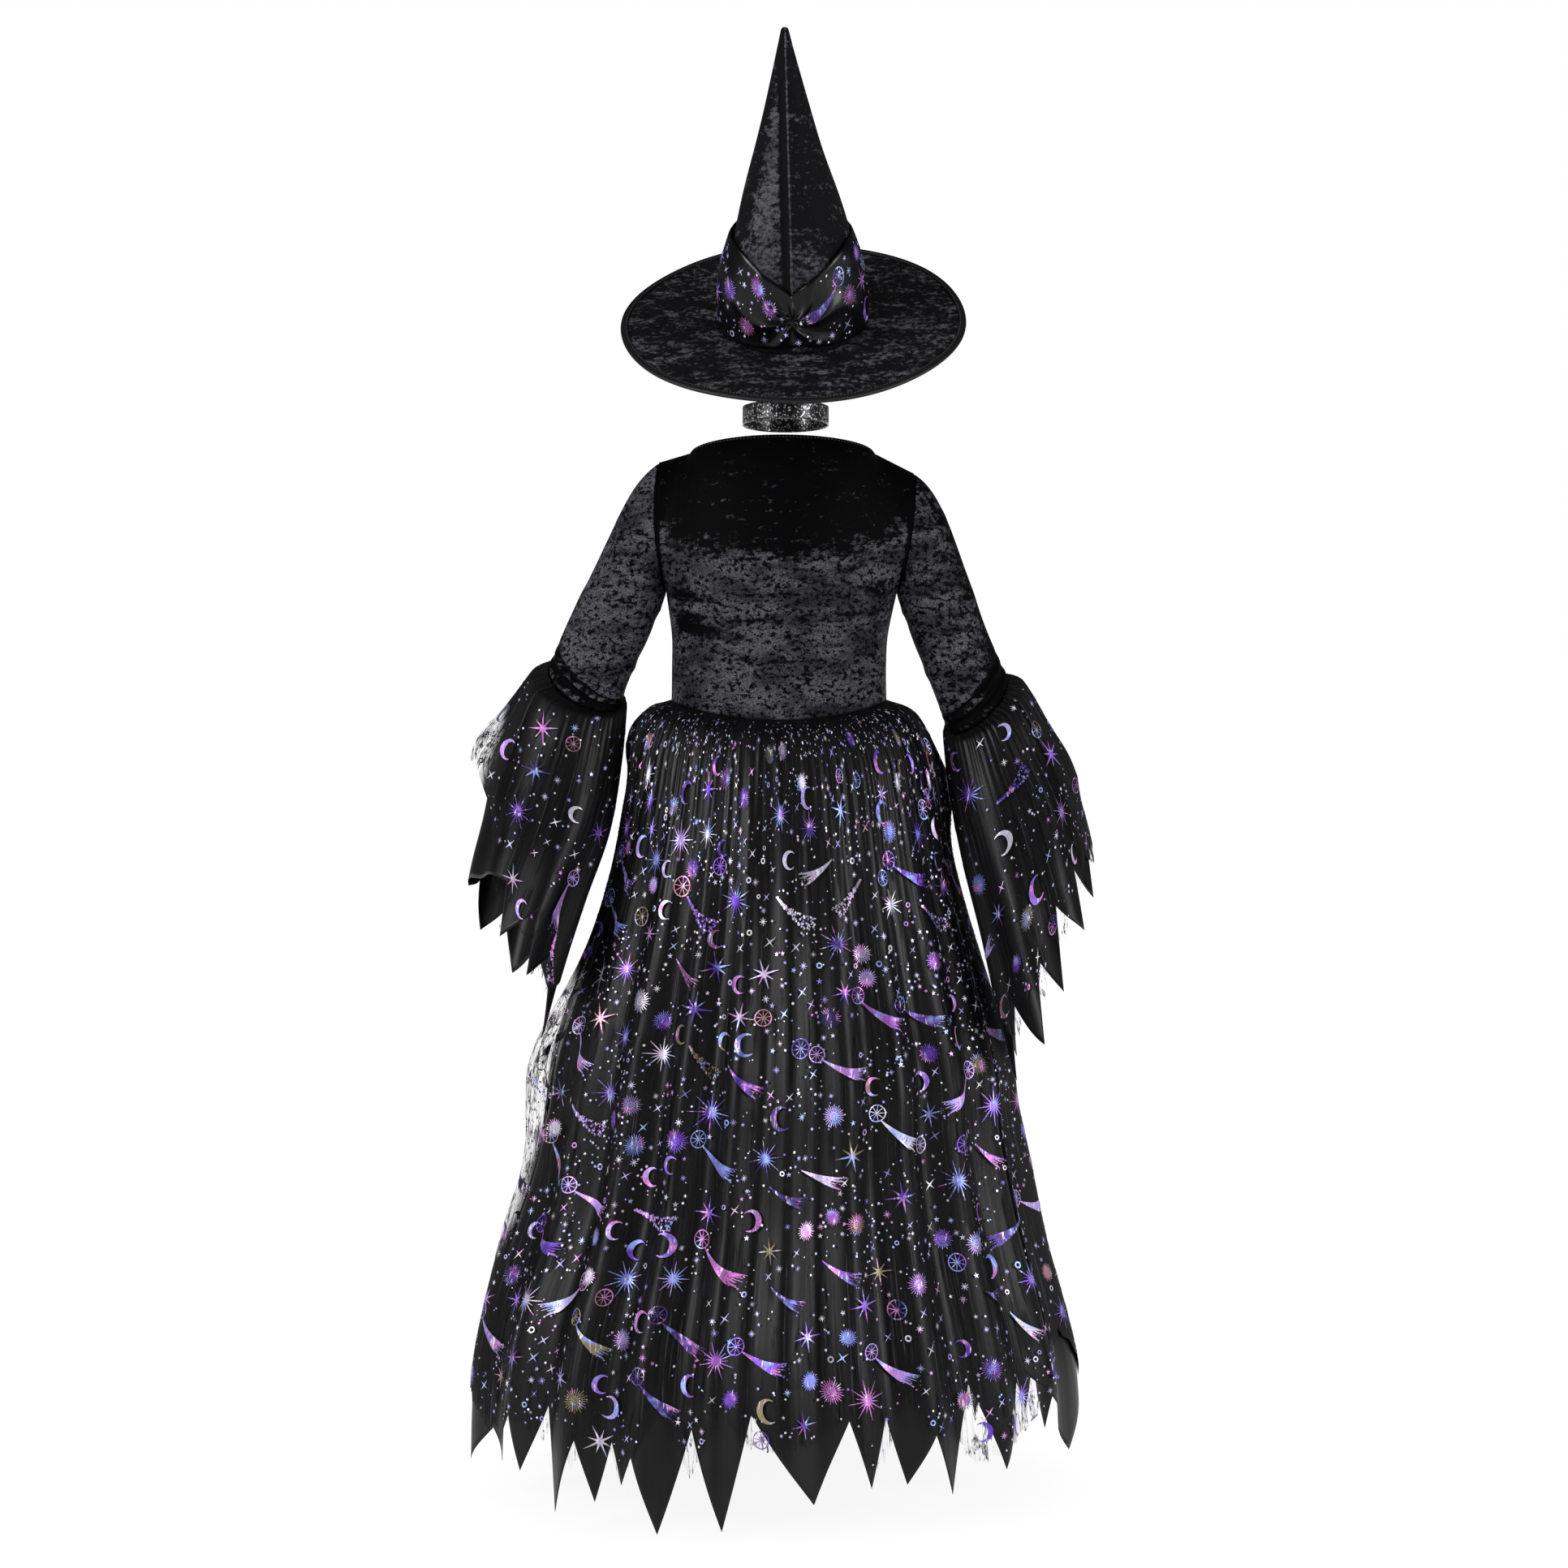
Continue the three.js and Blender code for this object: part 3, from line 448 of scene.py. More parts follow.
def glitter():
    """Cut flakes of 1.5 mm on black ribbon: about one in eight gets a painted glint, a pale base colour for a
    flake that faces the light like a mirror.
    """
    material, tree, shader = new_material("silver_glitter_ribbon", Roughness=0.3)
    place = add_node(tree, "TexCoord", output="Object")
    flakes = add_node(tree, "TexVoronoi", {"Vector": place, "Scale": 1 / (FLAKE_MM * MM)}, "Color")
    facing, height = [add_node(tree, "SeparateColor", (flakes,), channel) for channel in (0, 1)]
    painted_glint = add_node(tree, "MapRange", (facing, 0.78, 0.98))
    # The pale #e4e4ea of a flake is a painted glint.
    colours = {0: painted_glint, 6: colour("#08080a"), 7: colour("#e4e4ea")}
    silver = add_node(tree, "Mix", colours, 2, data_type="RGBA")
    mirror = add_node(tree, "MapRange", (facing, 0.7, 0.8, 0.0, 0.5))
    relief = add_node(tree, "Bump", {"Height": height, "Distance": 0.5 * MM, "Strength": 1.0})
    feed(tree, shader, Base_Color=silver, Metallic=mirror, Normal=relief)
    return material


# %% Tape and thread
TAPE_SPOTS = {"ribs": ((1.2, 30, 1.2), 1.0, 0.55)}
THREAD_SPOTS = {"twist": ((0.6, 0.6, 0.6), 1.0, 0.55)}


def edge_tape():
    """Satin binding tape with ribs of 1.2 mm across it."""
    material, tree, shader = new_material("satin_edge_tape", Roughness=0.5, Specular_IOR_Level=0.25)
    (ribs,) = spots(tree, add_node(tree, "UVMap", uv_map="cloth"), TAPE_SPOTS)
    black = add_node(tree, "Mix", {0: ribs, 6: colour("#060607"), 7: colour("#151517")}, 2, data_type="RGBA")
    relief = add_node(tree, "Bump", {"Height": ribs, "Distance": 0.4 * MM, "Strength": 0.5})
    feed(tree, shader, Base_Color=black, Normal=relief)
    return material


def sewing_thread():
    """Twisted polyester thread, rough and a little paler than the cloth, so that stitches show."""
    material, tree, shader = new_material("polyester_thread", Roughness=0.65, Sheen_Weight=0.2)
    (twist,) = spots(tree, add_node(tree, "TexCoord", output="Object"), THREAD_SPOTS)
    black = add_node(tree, "Mix", {0: twist, 6: colour("#131315"), 7: colour("#2c2c30")}, 2, data_type="RGBA")
    feed(tree, shader, Base_Color=black)
    return material


FOIL_PRINT, GLITTER_RIBBON, EDGE_TAPE, THREAD = foil(), glitter(), edge_tape(), sewing_thread()
print("materials:", len(bpy.data.materials))

# %% [markdown]
# ## The skirt
#
# The skirt is gathered satin with a jagged hem, under a layer of gathered net with a jagged hem of
# its own. Both hang from the waist seam. They could be draped, but a formula keeps the net a few
# millimetres outside the satin everywhere. A point of the skirt has an angle round the waist and a
# drop below the waist seam. An outline gives the oval at each drop, and folds push it in and out.

# %% Skirt outline and folds
WAIST = {"half_width": 129, "half_depth": 98, "shift": 4, "side": 954, "back_dip": 19, "front_dip": 9}
SKIRT_OUTLINE = smooth_table([  # drop, half width, half depth, shift
    (0, WAIST["half_width"], WAIST["half_depth"], WAIST["shift"]),
    (8, 147, 115, 4), (20, 160, 129, 2), (50, 175, 144, 0), (90, 185, 156, -1), (200, 209, 181, -1),
    (330, 243, 213, -1), (430, 269, 237, 0), (490, 276, 245, 3), (570, 292, 259, 5),
    (640, 313, 279, 8), (720, 341, 303, 11), (800, 359, 318, 10), (940, 366, 324, 9),
])
SKIRT_FOLDS = np.array([  # degrees, half width in degrees, height in mm, drop where it starts
    (-84, 6, 7, 120), (-73, 5, -8, 60), (-64, 4.5, 10, 90), (-55, 4.5, -9, 160), (-47, 4, 9, 40),
    (-38, 4, -10, 70), (-30, 4, 9, 150), (-23, 3.5, -8, 30), (-16, 3.5, 9, 60), (-9, 3.5, -9, 140),
    (-2, 3.5, 8, 40), (5, 3.5, -8, 80), (11, 3.5, 10, 30), (18, 4, -10, 60), (25, 3.5, 8, 120),
    (32, 4, -10, 50), (40, 4, 11, 80), (48, 4, -9, 150), (57, 4.5, 10, 60), (66, 5, -8, 90), (76, 5, 9, 60),
    (96, 5, -7, 90), (105, 5, 9, 60), (115, 5, -8, 120), (125, 5, 9, 50), (134, 5, -9, 90), (144, 5, 10, 40),
    (153, 5, -8, 140), (162, 5, 9, 60), (171, 5, -9, 90), (180, 5, 10, 50), (190, 5, -9, 120),
    (199, 5, 8, 60), (209, 5, -9, 80), (218, 5, 10, 40), (228, 5, -8, 150), (238, 5, 9, 60),
    (248, 5, -9, 90), (258, 5, 8, 70),
])
FOLD_GROWTH = {"before": 60, "after": 420}
PRESSED = {"middle": 82, "half_width": 22, "depth": 7, "drop": 230, "reach": 150}


def waist_height(angle):
    """954 at the sides, less the back's or the front's dip times the squared cosine of the angle."""
    dip = np.where(np.cos(angle) > 0, WAIST["back_dip"], WAIST["front_dip"])
    return WAIST["side"] - dip * np.cos(angle) ** 2


def sum_of_bells(degrees, folds, growth):
    """Each fold is its height times a bell of the angle from its middle, times how far it has grown."""
    away = turn_between(degrees[..., None], folds[:, 0])
    return (folds[:, 2] * bell(away, 0, folds[:, 1]) * growth).sum(-1)


def skirt_folds(degrees, drop):
    """The big folds, which grow over 480 mm of drop, less a bell on each side where the cuffs press."""
    start = SKIRT_FOLDS[:, 3]
    grown = smooth(drop[..., None], start - FOLD_GROWTH["before"], start + FOLD_GROWTH["after"])
    out = sum_of_bells(degrees, SKIRT_FOLDS, grown)
    for side in (1, -1):
        near = bell(turn_between(degrees, side * PRESSED["middle"]), 0, PRESSED["half_width"])
        out = out - PRESSED["depth"] * near * bell(drop, PRESSED["drop"], PRESSED["reach"])
    return out


# %% [markdown]
# ### Gathers
#
# A gathering thread pulls about three widths of cloth into one, so small pleats stand all round
# the waist. They are sharp under the seam and melt into the big folds lower down, some sooner and
# some later. Each one is a narrow bell of its own height and length, drawn from a seeded random
# generator, and the net has a second set of its own that only stands outwards.

# %% Gathers
SEED = 31
GATHERS = {"pleats": 124, "low": 1.3, "high": 3.2, "short": 60, "long": 300, "fade_in": 12}
NET_PLEATS = {"pleats": 84, "low": 0.8, "high": 3.0, "short": 140, "long": 620, "fade_in": 8}


def pleats_round(sizes, seed):
    """One row for each pleat: its middle, half width in degrees, height in mm and length of drop."""
    random = np.random.default_rng(seed)
    count = sizes["pleats"]
    middle = (np.arange(count) + random.uniform(-0.3, 0.3, count)) * 360 / count
    half_width = random.uniform(0.28, 0.46, count) * 360 / count
    height = random.uniform(sizes["low"], sizes["high"], count)
    length = random.uniform(sizes["short"], sizes["long"], count)
    return np.stack([middle, half_width, height, length], -1)


def pleats_at(degrees, drop, rows, fade_in):
    """Bells of the angle that appear over fade_in mm below the seam and die away over their length."""
    alive = smooth(drop[..., None], 0, fade_in) * np.exp(-((drop[..., None] / rows[:, 3]) ** 2))
    return sum_of_bells(degrees, rows, alive)


SATIN_GATHERS = pleats_round(GATHERS, SEED)
NET_GATHERS = pleats_round(NET_PLEATS, SEED + 1)

# %% [markdown]
# ### A point of the skirt
#
# Satin and net both call the same function, and the net only adds its distance from the satin. The
# net stands further off at the sides, where it is stiff enough to billow past the satin's edge.

# %% A point of the skirt
SHELF = {"drop": 24, "half_height": 22, "lift": 0.8}
NET_ROOM = {"top": 1.8, "hem": 3.4, "seam": 0.8, "grows_by": 12}
FREE_FROM = {"least": 9, "most": 18}  # mm off the satin where light starts to show through, and shows in full
EDGE_ON = {"least": 0.9, "most": 0.985}  # how far a place faces sideways, as a sine, where the veil closes up
NET_BILLOWS = [  # degrees, half width in degrees, height in mm, drop, half length
    (84, 17, 33, 435, 105), (84, 14, 15, 620, 75), (-84, 16, 7, 560, 90), (88, 10, 10, 50, 28),
    (-87, 10, 13, 104, 42),
]


def net_stands_off(degrees, drop):
    """Close at the seam, then 1.8 to 3.4 mm off, plus a bell of angle and drop for each billow."""
    off = NET_ROOM["top"] + (NET_ROOM["hem"] - NET_ROOM["top"]) * smooth(drop, 0, 500)
    off = off - (NET_ROOM["top"] - NET_ROOM["seam"]) * (1 - smooth(drop, 0, NET_ROOM["grows_by"]))
    for middle, half_width, most, place, reach in NET_BILLOWS:
        off = off + most * bell(turn_between(degrees, middle), 0, half_width) * bell(drop, place, reach)
    return off + pleats_at(degrees, drop, NET_GATHERS, NET_PLEATS["fade_in"])


def on_skirt(degrees, drop, layer=0.0):
    """The oval at that drop, moved out square to it by the folds, the gathers and the layer. Under
    the waist the skirt puffs out like a shelf, so an outer layer also lies a little higher there."""
    angle = np.radians(degrees)
    half_width, half_depth, shift = SKIRT_OUTLINE(drop)
    away = unit(vector(np.sin(angle) * half_depth, np.cos(angle) * half_width, 0 * angle))
    out = layer + skirt_folds(degrees, drop) + pleats_at(degrees, drop, SATIN_GATHERS, GATHERS["fade_in"])
    lifted = SHELF["lift"] * layer * bell(drop, SHELF["drop"], SHELF["half_height"])
    height = waist_height(angle) - drop + lifted
    oval = vector(shift + half_width * np.sin(angle), half_depth * np.cos(angle), height)
    return oval + away * out[..., None]


def on_skirt_net(degrees, drop, above=0.0):
    """The same point with the net's distance added, and the film's height above the net."""
    return on_skirt(degrees, drop, net_stands_off(degrees, drop) + above)


# %% [markdown]
# ### The jagged hem
#
# Both layers are cut in long points with a raw edge. Each row below is a notch and the point that
# follows it, as an angle and a height above the ground, with the height of the net's own edge at
# both. Rows of quads keep a level drop down to above the highest notch, and from there they share
# out what is left, so that each notch and point is crisp and has its own column.

# %% Hem tables and skirt panels
BACK_HEM = [  # notch angle, notch height, point angle, point height, net at the notch, net at the point
    (-90, 150, -77, 59, 120, 205), (-56, 181, -46.4, 74, 112, 96), (-40.3, 175, -34.5, 54, 86, 128),
    (-30.4, 127, -25, 71, 122, 168), (-21.3, 150, -17.5, 73, 110, 92), (-13.8, 150, -7.3, 54, 158, 122),
    (4.1, 156, 9.2, 26, 118, 160), (15.2, 139, 21.5, 16, 84, 150), (26.4, 104, 29, 68, 98, 74),
    (31.8, 115, 34.8, 44, 104, 132), (38.4, 115, 43.7, 26, 80, 146), (48.1, 144, 53.6, 64, 104, 122),
    (57.9, 144, 62.6, 64, 118, 150), (68.6, 96, 77, 49, 92, 138),
]
FRONT_HEM = [
    (90, 142, 97, 52, 100, 140), (104, 150, 111, 40, 92, 146), (118, 138, 124, 30, 104, 150),
    (131, 152, 137, 58, 88, 132), (143, 140, 150, 36, 96, 148), (156, 150, 162, 24, 84, 140),
    (168, 136, 175, 46, 102, 150), (182, 148, 188, 30, 90, 144), (194, 140, 200, 52, 96, 138),
    (206, 152, 213, 38, 86, 148), (219, 138, 225, 28, 100, 142), (231, 150, 238, 50, 92, 150),
    (244, 142, 250, 42, 98, 136), (256, 148, 263, 56, 94, 144),
]


def hem_line(rows, end, columns_each):
    """Straight lines from notch to point to notch: angle, satin edge and net edge for each column,
    and how far the raw edge of the net frays there. end is the notch that follows the last point."""
    table = np.array([*rows, end], float)
    random = np.random.default_rng(len(rows) * columns_each)
    knots = np.stack([table[:, [0, 1, 4]], table[:, [2, 3, 5]]], 1).reshape(-1, 3)[:-1]
    place = np.linspace(0, len(rows), len(rows) * columns_each + 1)
    at = np.arange(len(knots)) / 2
    degrees, cut_edge, net_edge = [np.interp(place, at, knots[:, k]) for k in range(3)]
    fray = random.normal(0, 1, len(place) - 1)
    return degrees, cut_edge, net_edge, np.append(fray, fray[0])


LEVEL_DROP = 700  # mm below the waist seam, above which the rows of quads are level
SKIRT_ROWS = {"seam": 14, "seam_drop": 42, "middle": 54, "hem": 20}
COLUMNS_EACH = {"satin": 24, "net": 28}
SEAM_DROP = 0.3
CLOTH_RADIUS = 345  # mm of flat cloth for each radian, which is the skirt's own radius near the hem
FRAY_MM = 2.5
PAST_SATIN = {"from": -6, "to": 4}  # mm below the satin's edge
WALL_MM = {"satin": 0.6, "velvet": 0.9, "net": 0, "band": 0.7}  # the net stays a single sheet


def skirt_panel(name, hem, end, is_net, material, thickness):
    """The grid of one panel from side seam to side seam, and its size on the flat cloth."""
    degrees, satin_edge, net_edge, fray = hem_line(hem, end, COLUMNS_EACH["net" if is_net else "satin"])
    full = waist_height(np.radians(degrees)) - (net_edge + FRAY_MM * fray if is_net else satin_edge)
    near = np.linspace(SEAM_DROP, SKIRT_ROWS["seam_drop"], SKIRT_ROWS["seam"])
    middle = np.linspace(SKIRT_ROWS["seam_drop"], LEVEL_DROP, SKIRT_ROWS["middle"])[1:]
    level = np.concatenate([near, middle])[:, None] + 0 * degrees
    share = np.linspace(0, 1, SKIRT_ROWS["hem"])[1:, None]
    drop = np.concatenate([level, LEVEL_DROP + (full - LEVEL_DROP) * share])
    degrees = np.broadcast_to(degrees, drop.shape)
    points = (on_skirt_net if is_net else on_skirt)(degrees, drop)
    cloth_mm = (np.radians(degrees) * CLOTH_RADIUS, drop)
    if not is_net:
        return add_cloth(name, points, cloth_mm, material, thickness)
    past_satin = smooth(drop - (waist_height(np.radians(degrees)) - satin_edge), *PAST_SATIN.values())
    free = np.maximum(smooth(net_stands_off(degrees, drop), *FREE_FROM.values()), past_satin)
    dense = smooth(np.abs(np.sin(np.radians(degrees))), *EDGE_ON.values()) * (1 - free)
    return add_cloth(name, points, cloth_mm, material, thickness, free=free, dense=dense)


BACK_END = FRONT_HEM[0]
FRONT_END = (BACK_HEM[0][0] + 360, *BACK_HEM[0][1:])
skirt_back = skirt_panel("skirt_satin_back", BACK_HEM, BACK_END, False, SATIN_CLOTH, WALL_MM["satin"])
skirt_front = skirt_panel("skirt_satin_front", FRONT_HEM, FRONT_END, False, SATIN_CLOTH, WALL_MM["satin"])
net_back = skirt_panel("skirt_tulle_back", BACK_HEM, BACK_END, True, NET_CLOTH, WALL_MM["net"])
net_front = skirt_panel("skirt_tulle_front", FRONT_HEM, FRONT_END, True, NET_CLOTH, WALL_MM["net"])
print("skirt area in m2:", [round(area_of(p), 3) for p in (skirt_back, skirt_front, net_back, net_front)])

# %% [markdown]
# ## The sleeves
#
# Each sleeve is a close velvet tube from the armhole to the elbow. A row of its table is one ring:
# its outer and inner side, how deep it is, and how much lower its back hangs. The rings are ovals
# through those points. At the armhole the tube meets the bodice in a seam, and at the elbow the
# velvet bunches up in a few crescent folds above the seam of the flounce.

# %% Sleeve tables
ARMHOLE_BOW = {"left": 8, "right": 6}
SIDE = {"left": 1, "right": -1}
# place, outer x, outer y, outer height, inner x, inner y, inner height, depth, back drop
SLEEVES = {
    "left": smooth_table([
        (0, 147, 2, 1238, 139, 2, 1083, 50, 0), (1, 166, 2, 1221, 144, 2, 1068, 52, 0),
        (2, 184, 2, 1196, 152, 2, 1049, 53, 1), (3, 206, 2, 1152, 163, 2, 1023, 51, 4),
        (4, 231, 1, 1100, 176, 2, 997, 49, 10), (5, 258, 1, 1045, 187, 1, 971, 47, 18),
        (6, 280, 0, 992, 192, 0, 955, 45, 25),
    ]),
    "right": smooth_table([
        (0, 157, 2, 1225, 137, 2, 1081, 50, 0), (1, 172, 2, 1212, 142, 2, 1065, 52, 0),
        (2, 186, 2, 1192, 149, 2, 1046, 53, 1), (3, 201, 2, 1160, 159, 2, 1019, 51, 4),
        (4, 220, 1, 1108, 171, 2, 990, 49, 9), (5, 244, 1, 1040, 184, 1, 958, 47, 16),
        (6, 270, 0, 979, 197, 0, 923, 45, 22),
    ]),
}


def on_sleeve(run, side, place, degrees, out=0.0, bow=0.0):
    """The middle of the ring, plus its half width times the cosine and its half depth times the
    sine of the angle, moved out square to the oval. 0 degrees is the outer side, 90 the back."""
    outer_x, outer_y, outer_h, inner_x, inner_y, inner_h, depth, back_drop = run(place)
    outer = vector(outer_x * side, outer_y, outer_h)
    inner = vector(inner_x * side, inner_y, inner_h)
    across = (outer - inner) / 2
    back = vector(0 * depth, depth, -back_drop)
    c, s = np.cos(np.radians(degrees))[..., None], np.sin(np.radians(degrees))[..., None]
    away = unit(across * c / (across**2).sum(-1, keepdims=True) + back * s / (back**2).sum(-1, keepdims=True))
    sideways = vector(bow * side * s[..., 0] ** 2, 0, 0)
    return (outer + inner) / 2 + across * c + back * s + away * np.asarray(out)[..., None] + sideways


def ring_facing(run, side, place):
    """The direction square to one of the rings, from the cross product of two of its chords."""
    outer, back, inner = on_sleeve(run, side, np.full(3, float(place)), np.array([0.0, 90.0, 180.0]))
    return unit(np.cross(outer - inner, back - inner))


# %% Sleeves
SLEEVE_GRID = {"rows": 110, "columns": 132}
OUTER_SHADE = {"left": 0.1, "right": 0.5}
SEAM_DIP = {"depth": 1.4, "half_width": 0.09}
SLEEVE_CREASES = np.array([  # degrees, half width, height in mm, place, half length
    (60, 60, 1.5, 2.6, 0.22), (150, 45, -1.8, 2.0, 0.25), (200, 50, 1.6, 1.3, 0.2),
    (110, 55, -1.6, 3.6, 0.22), (30, 50, 1.4, 4.4, 0.25), (170, 50, 1.8, 4.1, 0.2),
])
ELBOW_CREASES = np.array([  # the same columns: the velvet bunched up above the flounce
    (70, 80, 3.4, 5.92, 0.08), (80, 75, -3.4, 5.77, 0.06), (85, 70, 3.2, 5.63, 0.07),
    (75, 60, -3.0, 5.5, 0.05), (95, 55, 2.4, 5.38, 0.07), (100, 45, -2.4, 5.26, 0.05),
    (250, 60, 2.0, 5.85, 0.1), (260, 50, -1.8, 5.65, 0.1),
])
# Painted sheen and shade on the velvet: the painted sheen of each sleeve, more on the left than on the right,
# the painted shade taken off at the elbow, the armhole seam and the inner side, and more painted sheen for
# each mm that a crease stands proud.
SLEEVE_PAINTED_SHEEN = {"left": 0.88, "right": 0.72}  # how far the pile lies to the light
SLEEVE_PAINTED_SHADE = {"elbow": 0.8, "armhole": 1.2, "inner": 0.35}
PAINTED_SHEEN_PER_CREASE_MM = 0.12  # for each mm that a crease stands proud
SLEEVE_CLOTH = {"per_degree": 1.0, "per_place": 45}


def crease_sum(degrees, place, rows):
    """Each crease is its height times a bell of the angle times a bell of the place along the sleeve."""
    out = 0 * degrees
    for middle, half_width, height, at, reach in rows:
        out = out + height * bell(turn_between(degrees, middle), 0, half_width) * bell(place, at, reach)
    return out


def sleeve(name):
    """Rings from the armhole to the elbow. The creases bow down at the back, as the rings do."""
    place, degrees = np.meshgrid(
        np.linspace(0, 6, SLEEVE_GRID["rows"]), np.linspace(0, 360, SLEEVE_GRID["columns"] + 1), indexing="ij"
    )
    bunched = crease_sum(degrees, place, ELBOW_CREASES)
    out = crease_sum(degrees, place, SLEEVE_CREASES) + bunched
    out = out * smooth(place, 0, 0.5) * (1 - smooth(place, 5.9, 6.0))
    out = out - SEAM_DIP["depth"] * bell(place, 0, SEAM_DIP["half_width"])
    bow = ARMHOLE_BOW[name] * np.clip(1 - place / 2, 0, None)
    points = on_sleeve(SLEEVES[name], SIDE[name], place, degrees, out, bow)
    # Painted sheen, less painted shade at the elbow, the armhole seam, the outer and the inner side, with a
    # painted highlight on the crests of the bunched folds and painted shade in their troughs.
    nap = SLEEVE_PAINTED_SHEEN[name] - SLEEVE_PAINTED_SHADE["elbow"] * smooth(place, 5.2, 5.75)
    nap = nap - SLEEVE_PAINTED_SHADE["armhole"] * bell(place, 0, 0.1)
    nap = nap - OUTER_SHADE[name] * bell(turn_between(degrees, 0), 0, 48)
    nap = nap - SLEEVE_PAINTED_SHADE["inner"] * bell(turn_between(degrees, 180), 0, 40) + PAINTED_SHEEN_PER_CREASE_MM * bunched
    cloth_mm = (degrees * SLEEVE_CLOTH["per_degree"], place * SLEEVE_CLOTH["per_place"])
    return add_cloth(f"sleeve_velvet_{name}", points, cloth_mm, VELVET_CLOTH, WALL_MM["velvet"], nap=nap)


sleeves = {name: sleeve(name) for name in SIDE}
print("sleeve area in m2:", [round(area_of(p), 3) for p in sleeves.values()])

# %% [markdown]
# ## The flounces
#
# Below the elbow hangs a flared ring of satin with printed net over it, both cut in points. The
# ring stands out like a bell because it is cut from a circle and gathered onto the sleeve. Its
# soft waves grow downwards, its small gathers die away within 30 mm, and the net flares away
# from the satin at the outer side, where the light shines through it.

# %% Flounce tables
FLOUNCES = {
    "left": smooth_table([
        (0, 281, 0, 991, 191, 0, 954, 46, 25), (0.05, 301, 2, 982, 189, 4, 946, 57, 24),
        (0.25, 325, 6, 925, 195, 16, 880, 66, 14), (0.5, 345, 10, 868, 209, 42, 800, 73, 2),
        (0.75, 357, 14, 806, 236, 80, 722, 80, -12), (1, 370, 20, 750, 260, 104, 645, 86, -26),
        (1.45, 388, 34, 655, 287, 142, 540, 95, -36),
    ]),
    "right": smooth_table([
        (0, 270.5, 0, 978, 196.5, 0, 922, 46, 22), (0.05, 289, 2, 971, 195, 4, 912, 57, 22),
        (0.25, 318, 6, 915, 202, 18, 848, 67, 14), (0.5, 342, 10, 866, 217, 46, 768, 76, 6),
        (0.75, 356, 14, 822, 238, 76, 682, 83, 2), (1, 366, 16, 785, 257, 96, 590, 89, 0),
        (1.45, 384, 22, 715, 282, 130, 478, 98, -4),
    ]),
}
CUFF_HEMS = {  # notch angle, notch place, point angle, point place, net at the notch, net at the point
    "left": [
        (-20, 1.0, 5, 1.1, 0.52, 0.46), (78, 0.93, 86, 1.2, 1.08, 1.0), (116, 0.92, 124, 1.22, 1.1, 1.0),
        (150, 1.02, 168, 1.36, 1.2, 1.08), (198, 0.98, 222, 1.12, 1.06, 0.98),
        (248, 1.0, 272, 1.2, 1.12, 1.02), (295, 1.0, 318, 1.2, 1.1, 0.96),
    ],
    "right": [
        (-34, 0.88, -14, 0.98, 1.0, 0.9), (-5, 0.85, 4, 1.17, 1.02, 0.94), (22, 1.0, 31, 1.29, 1.14, 1.0),
        (50, 0.95, 58, 1.3, 1.12, 1.0), (78, 0.95, 90, 1.34, 1.14, 1.02), (106, 1.0, 118, 1.36, 1.2, 1.06),
        (146, 1.0, 165, 1.3, 1.16, 1.04), (190, 1.0, 212, 1.28, 1.14, 1.0), (235, 1.0, 255, 1.25, 1.12, 1.0),
        (282, 0.96, 303, 1.18, 1.08, 0.94),
    ],
}
FLARE = {"left": (-8, 24, 34), "right": (-8, 20, 9)}
FLOUNCE_WAVES = {"count": 7, "height": 5, "starts": 0.1}
ELBOW_GATHERS = {"count": 46, "height": 1.2, "fade": 0.16, "gap": 0.6, "gap_fade": 0.1}
CUFF_NET = {
    "seam": 0.6, "top": 2.2, "hem": 3.6, "opens_by": 0.05,
    "flare_from": 0.03, "flare_to": 0.44, "flare_ends": 0.52, "flare_gone": 0.74,
}


def on_flounce(name, place, degrees, is_net=False, above=0.0):
    """The sleeve's oval, out by a sine wave of 7 crests that grows downwards and by small gathers that
    fade. The net adds its distance, which grows from the seam, and its flare at the outer side."""
    run, side = FLOUNCES[name], SIDE[name]
    wave = np.sin(np.radians(degrees * FLOUNCE_WAVES["count"])) * smooth(place, FLOUNCE_WAVES["starts"], 1)
    gathers = np.cos(np.radians(degrees * ELBOW_GATHERS["count"])) * np.exp(-place / ELBOW_GATHERS["fade"])
    out = FLOUNCE_WAVES["height"] * wave + ELBOW_GATHERS["height"] * gathers + above
    if is_net:
        middle, half_width, most = FLARE[name]
        flaring = smooth(place, CUFF_NET["flare_from"], CUFF_NET["flare_to"])
        flaring = flaring * (1 - smooth(place, CUFF_NET["flare_ends"], CUFF_NET["flare_gone"]))
        room = CUFF_NET["top"] + (CUFF_NET["hem"] - CUFF_NET["top"]) * smooth(place, 0, CUFF_NET["flare_to"])
        room = room - (CUFF_NET["top"] - CUFF_NET["seam"]) * (1 - smooth(place, 0, CUFF_NET["opens_by"]))
        out = out + room + most * bell(turn_between(degrees, middle), 0, half_width) * flaring
    facing = ring_facing(run, side, 0)
    down = -np.sign(facing[2]) * ELBOW_GATHERS["gap"] * np.exp(-place / ELBOW_GATHERS["gap_fade"])
    return on_sleeve(run, side, place, degrees, out) + facing * down[..., None]


# %% Flounces
CUFF_ROWS = {"top": 14, "top_place": 0.12, "middle": 26, "level_place": 0.5, "hem": 22, "columns_each": 28}
CUFF_CLOTH = {"per_degree": 1.6, "per_place": 290}
CUFF_EDGE_ON = {"least": 0.72, "most": 0.92}


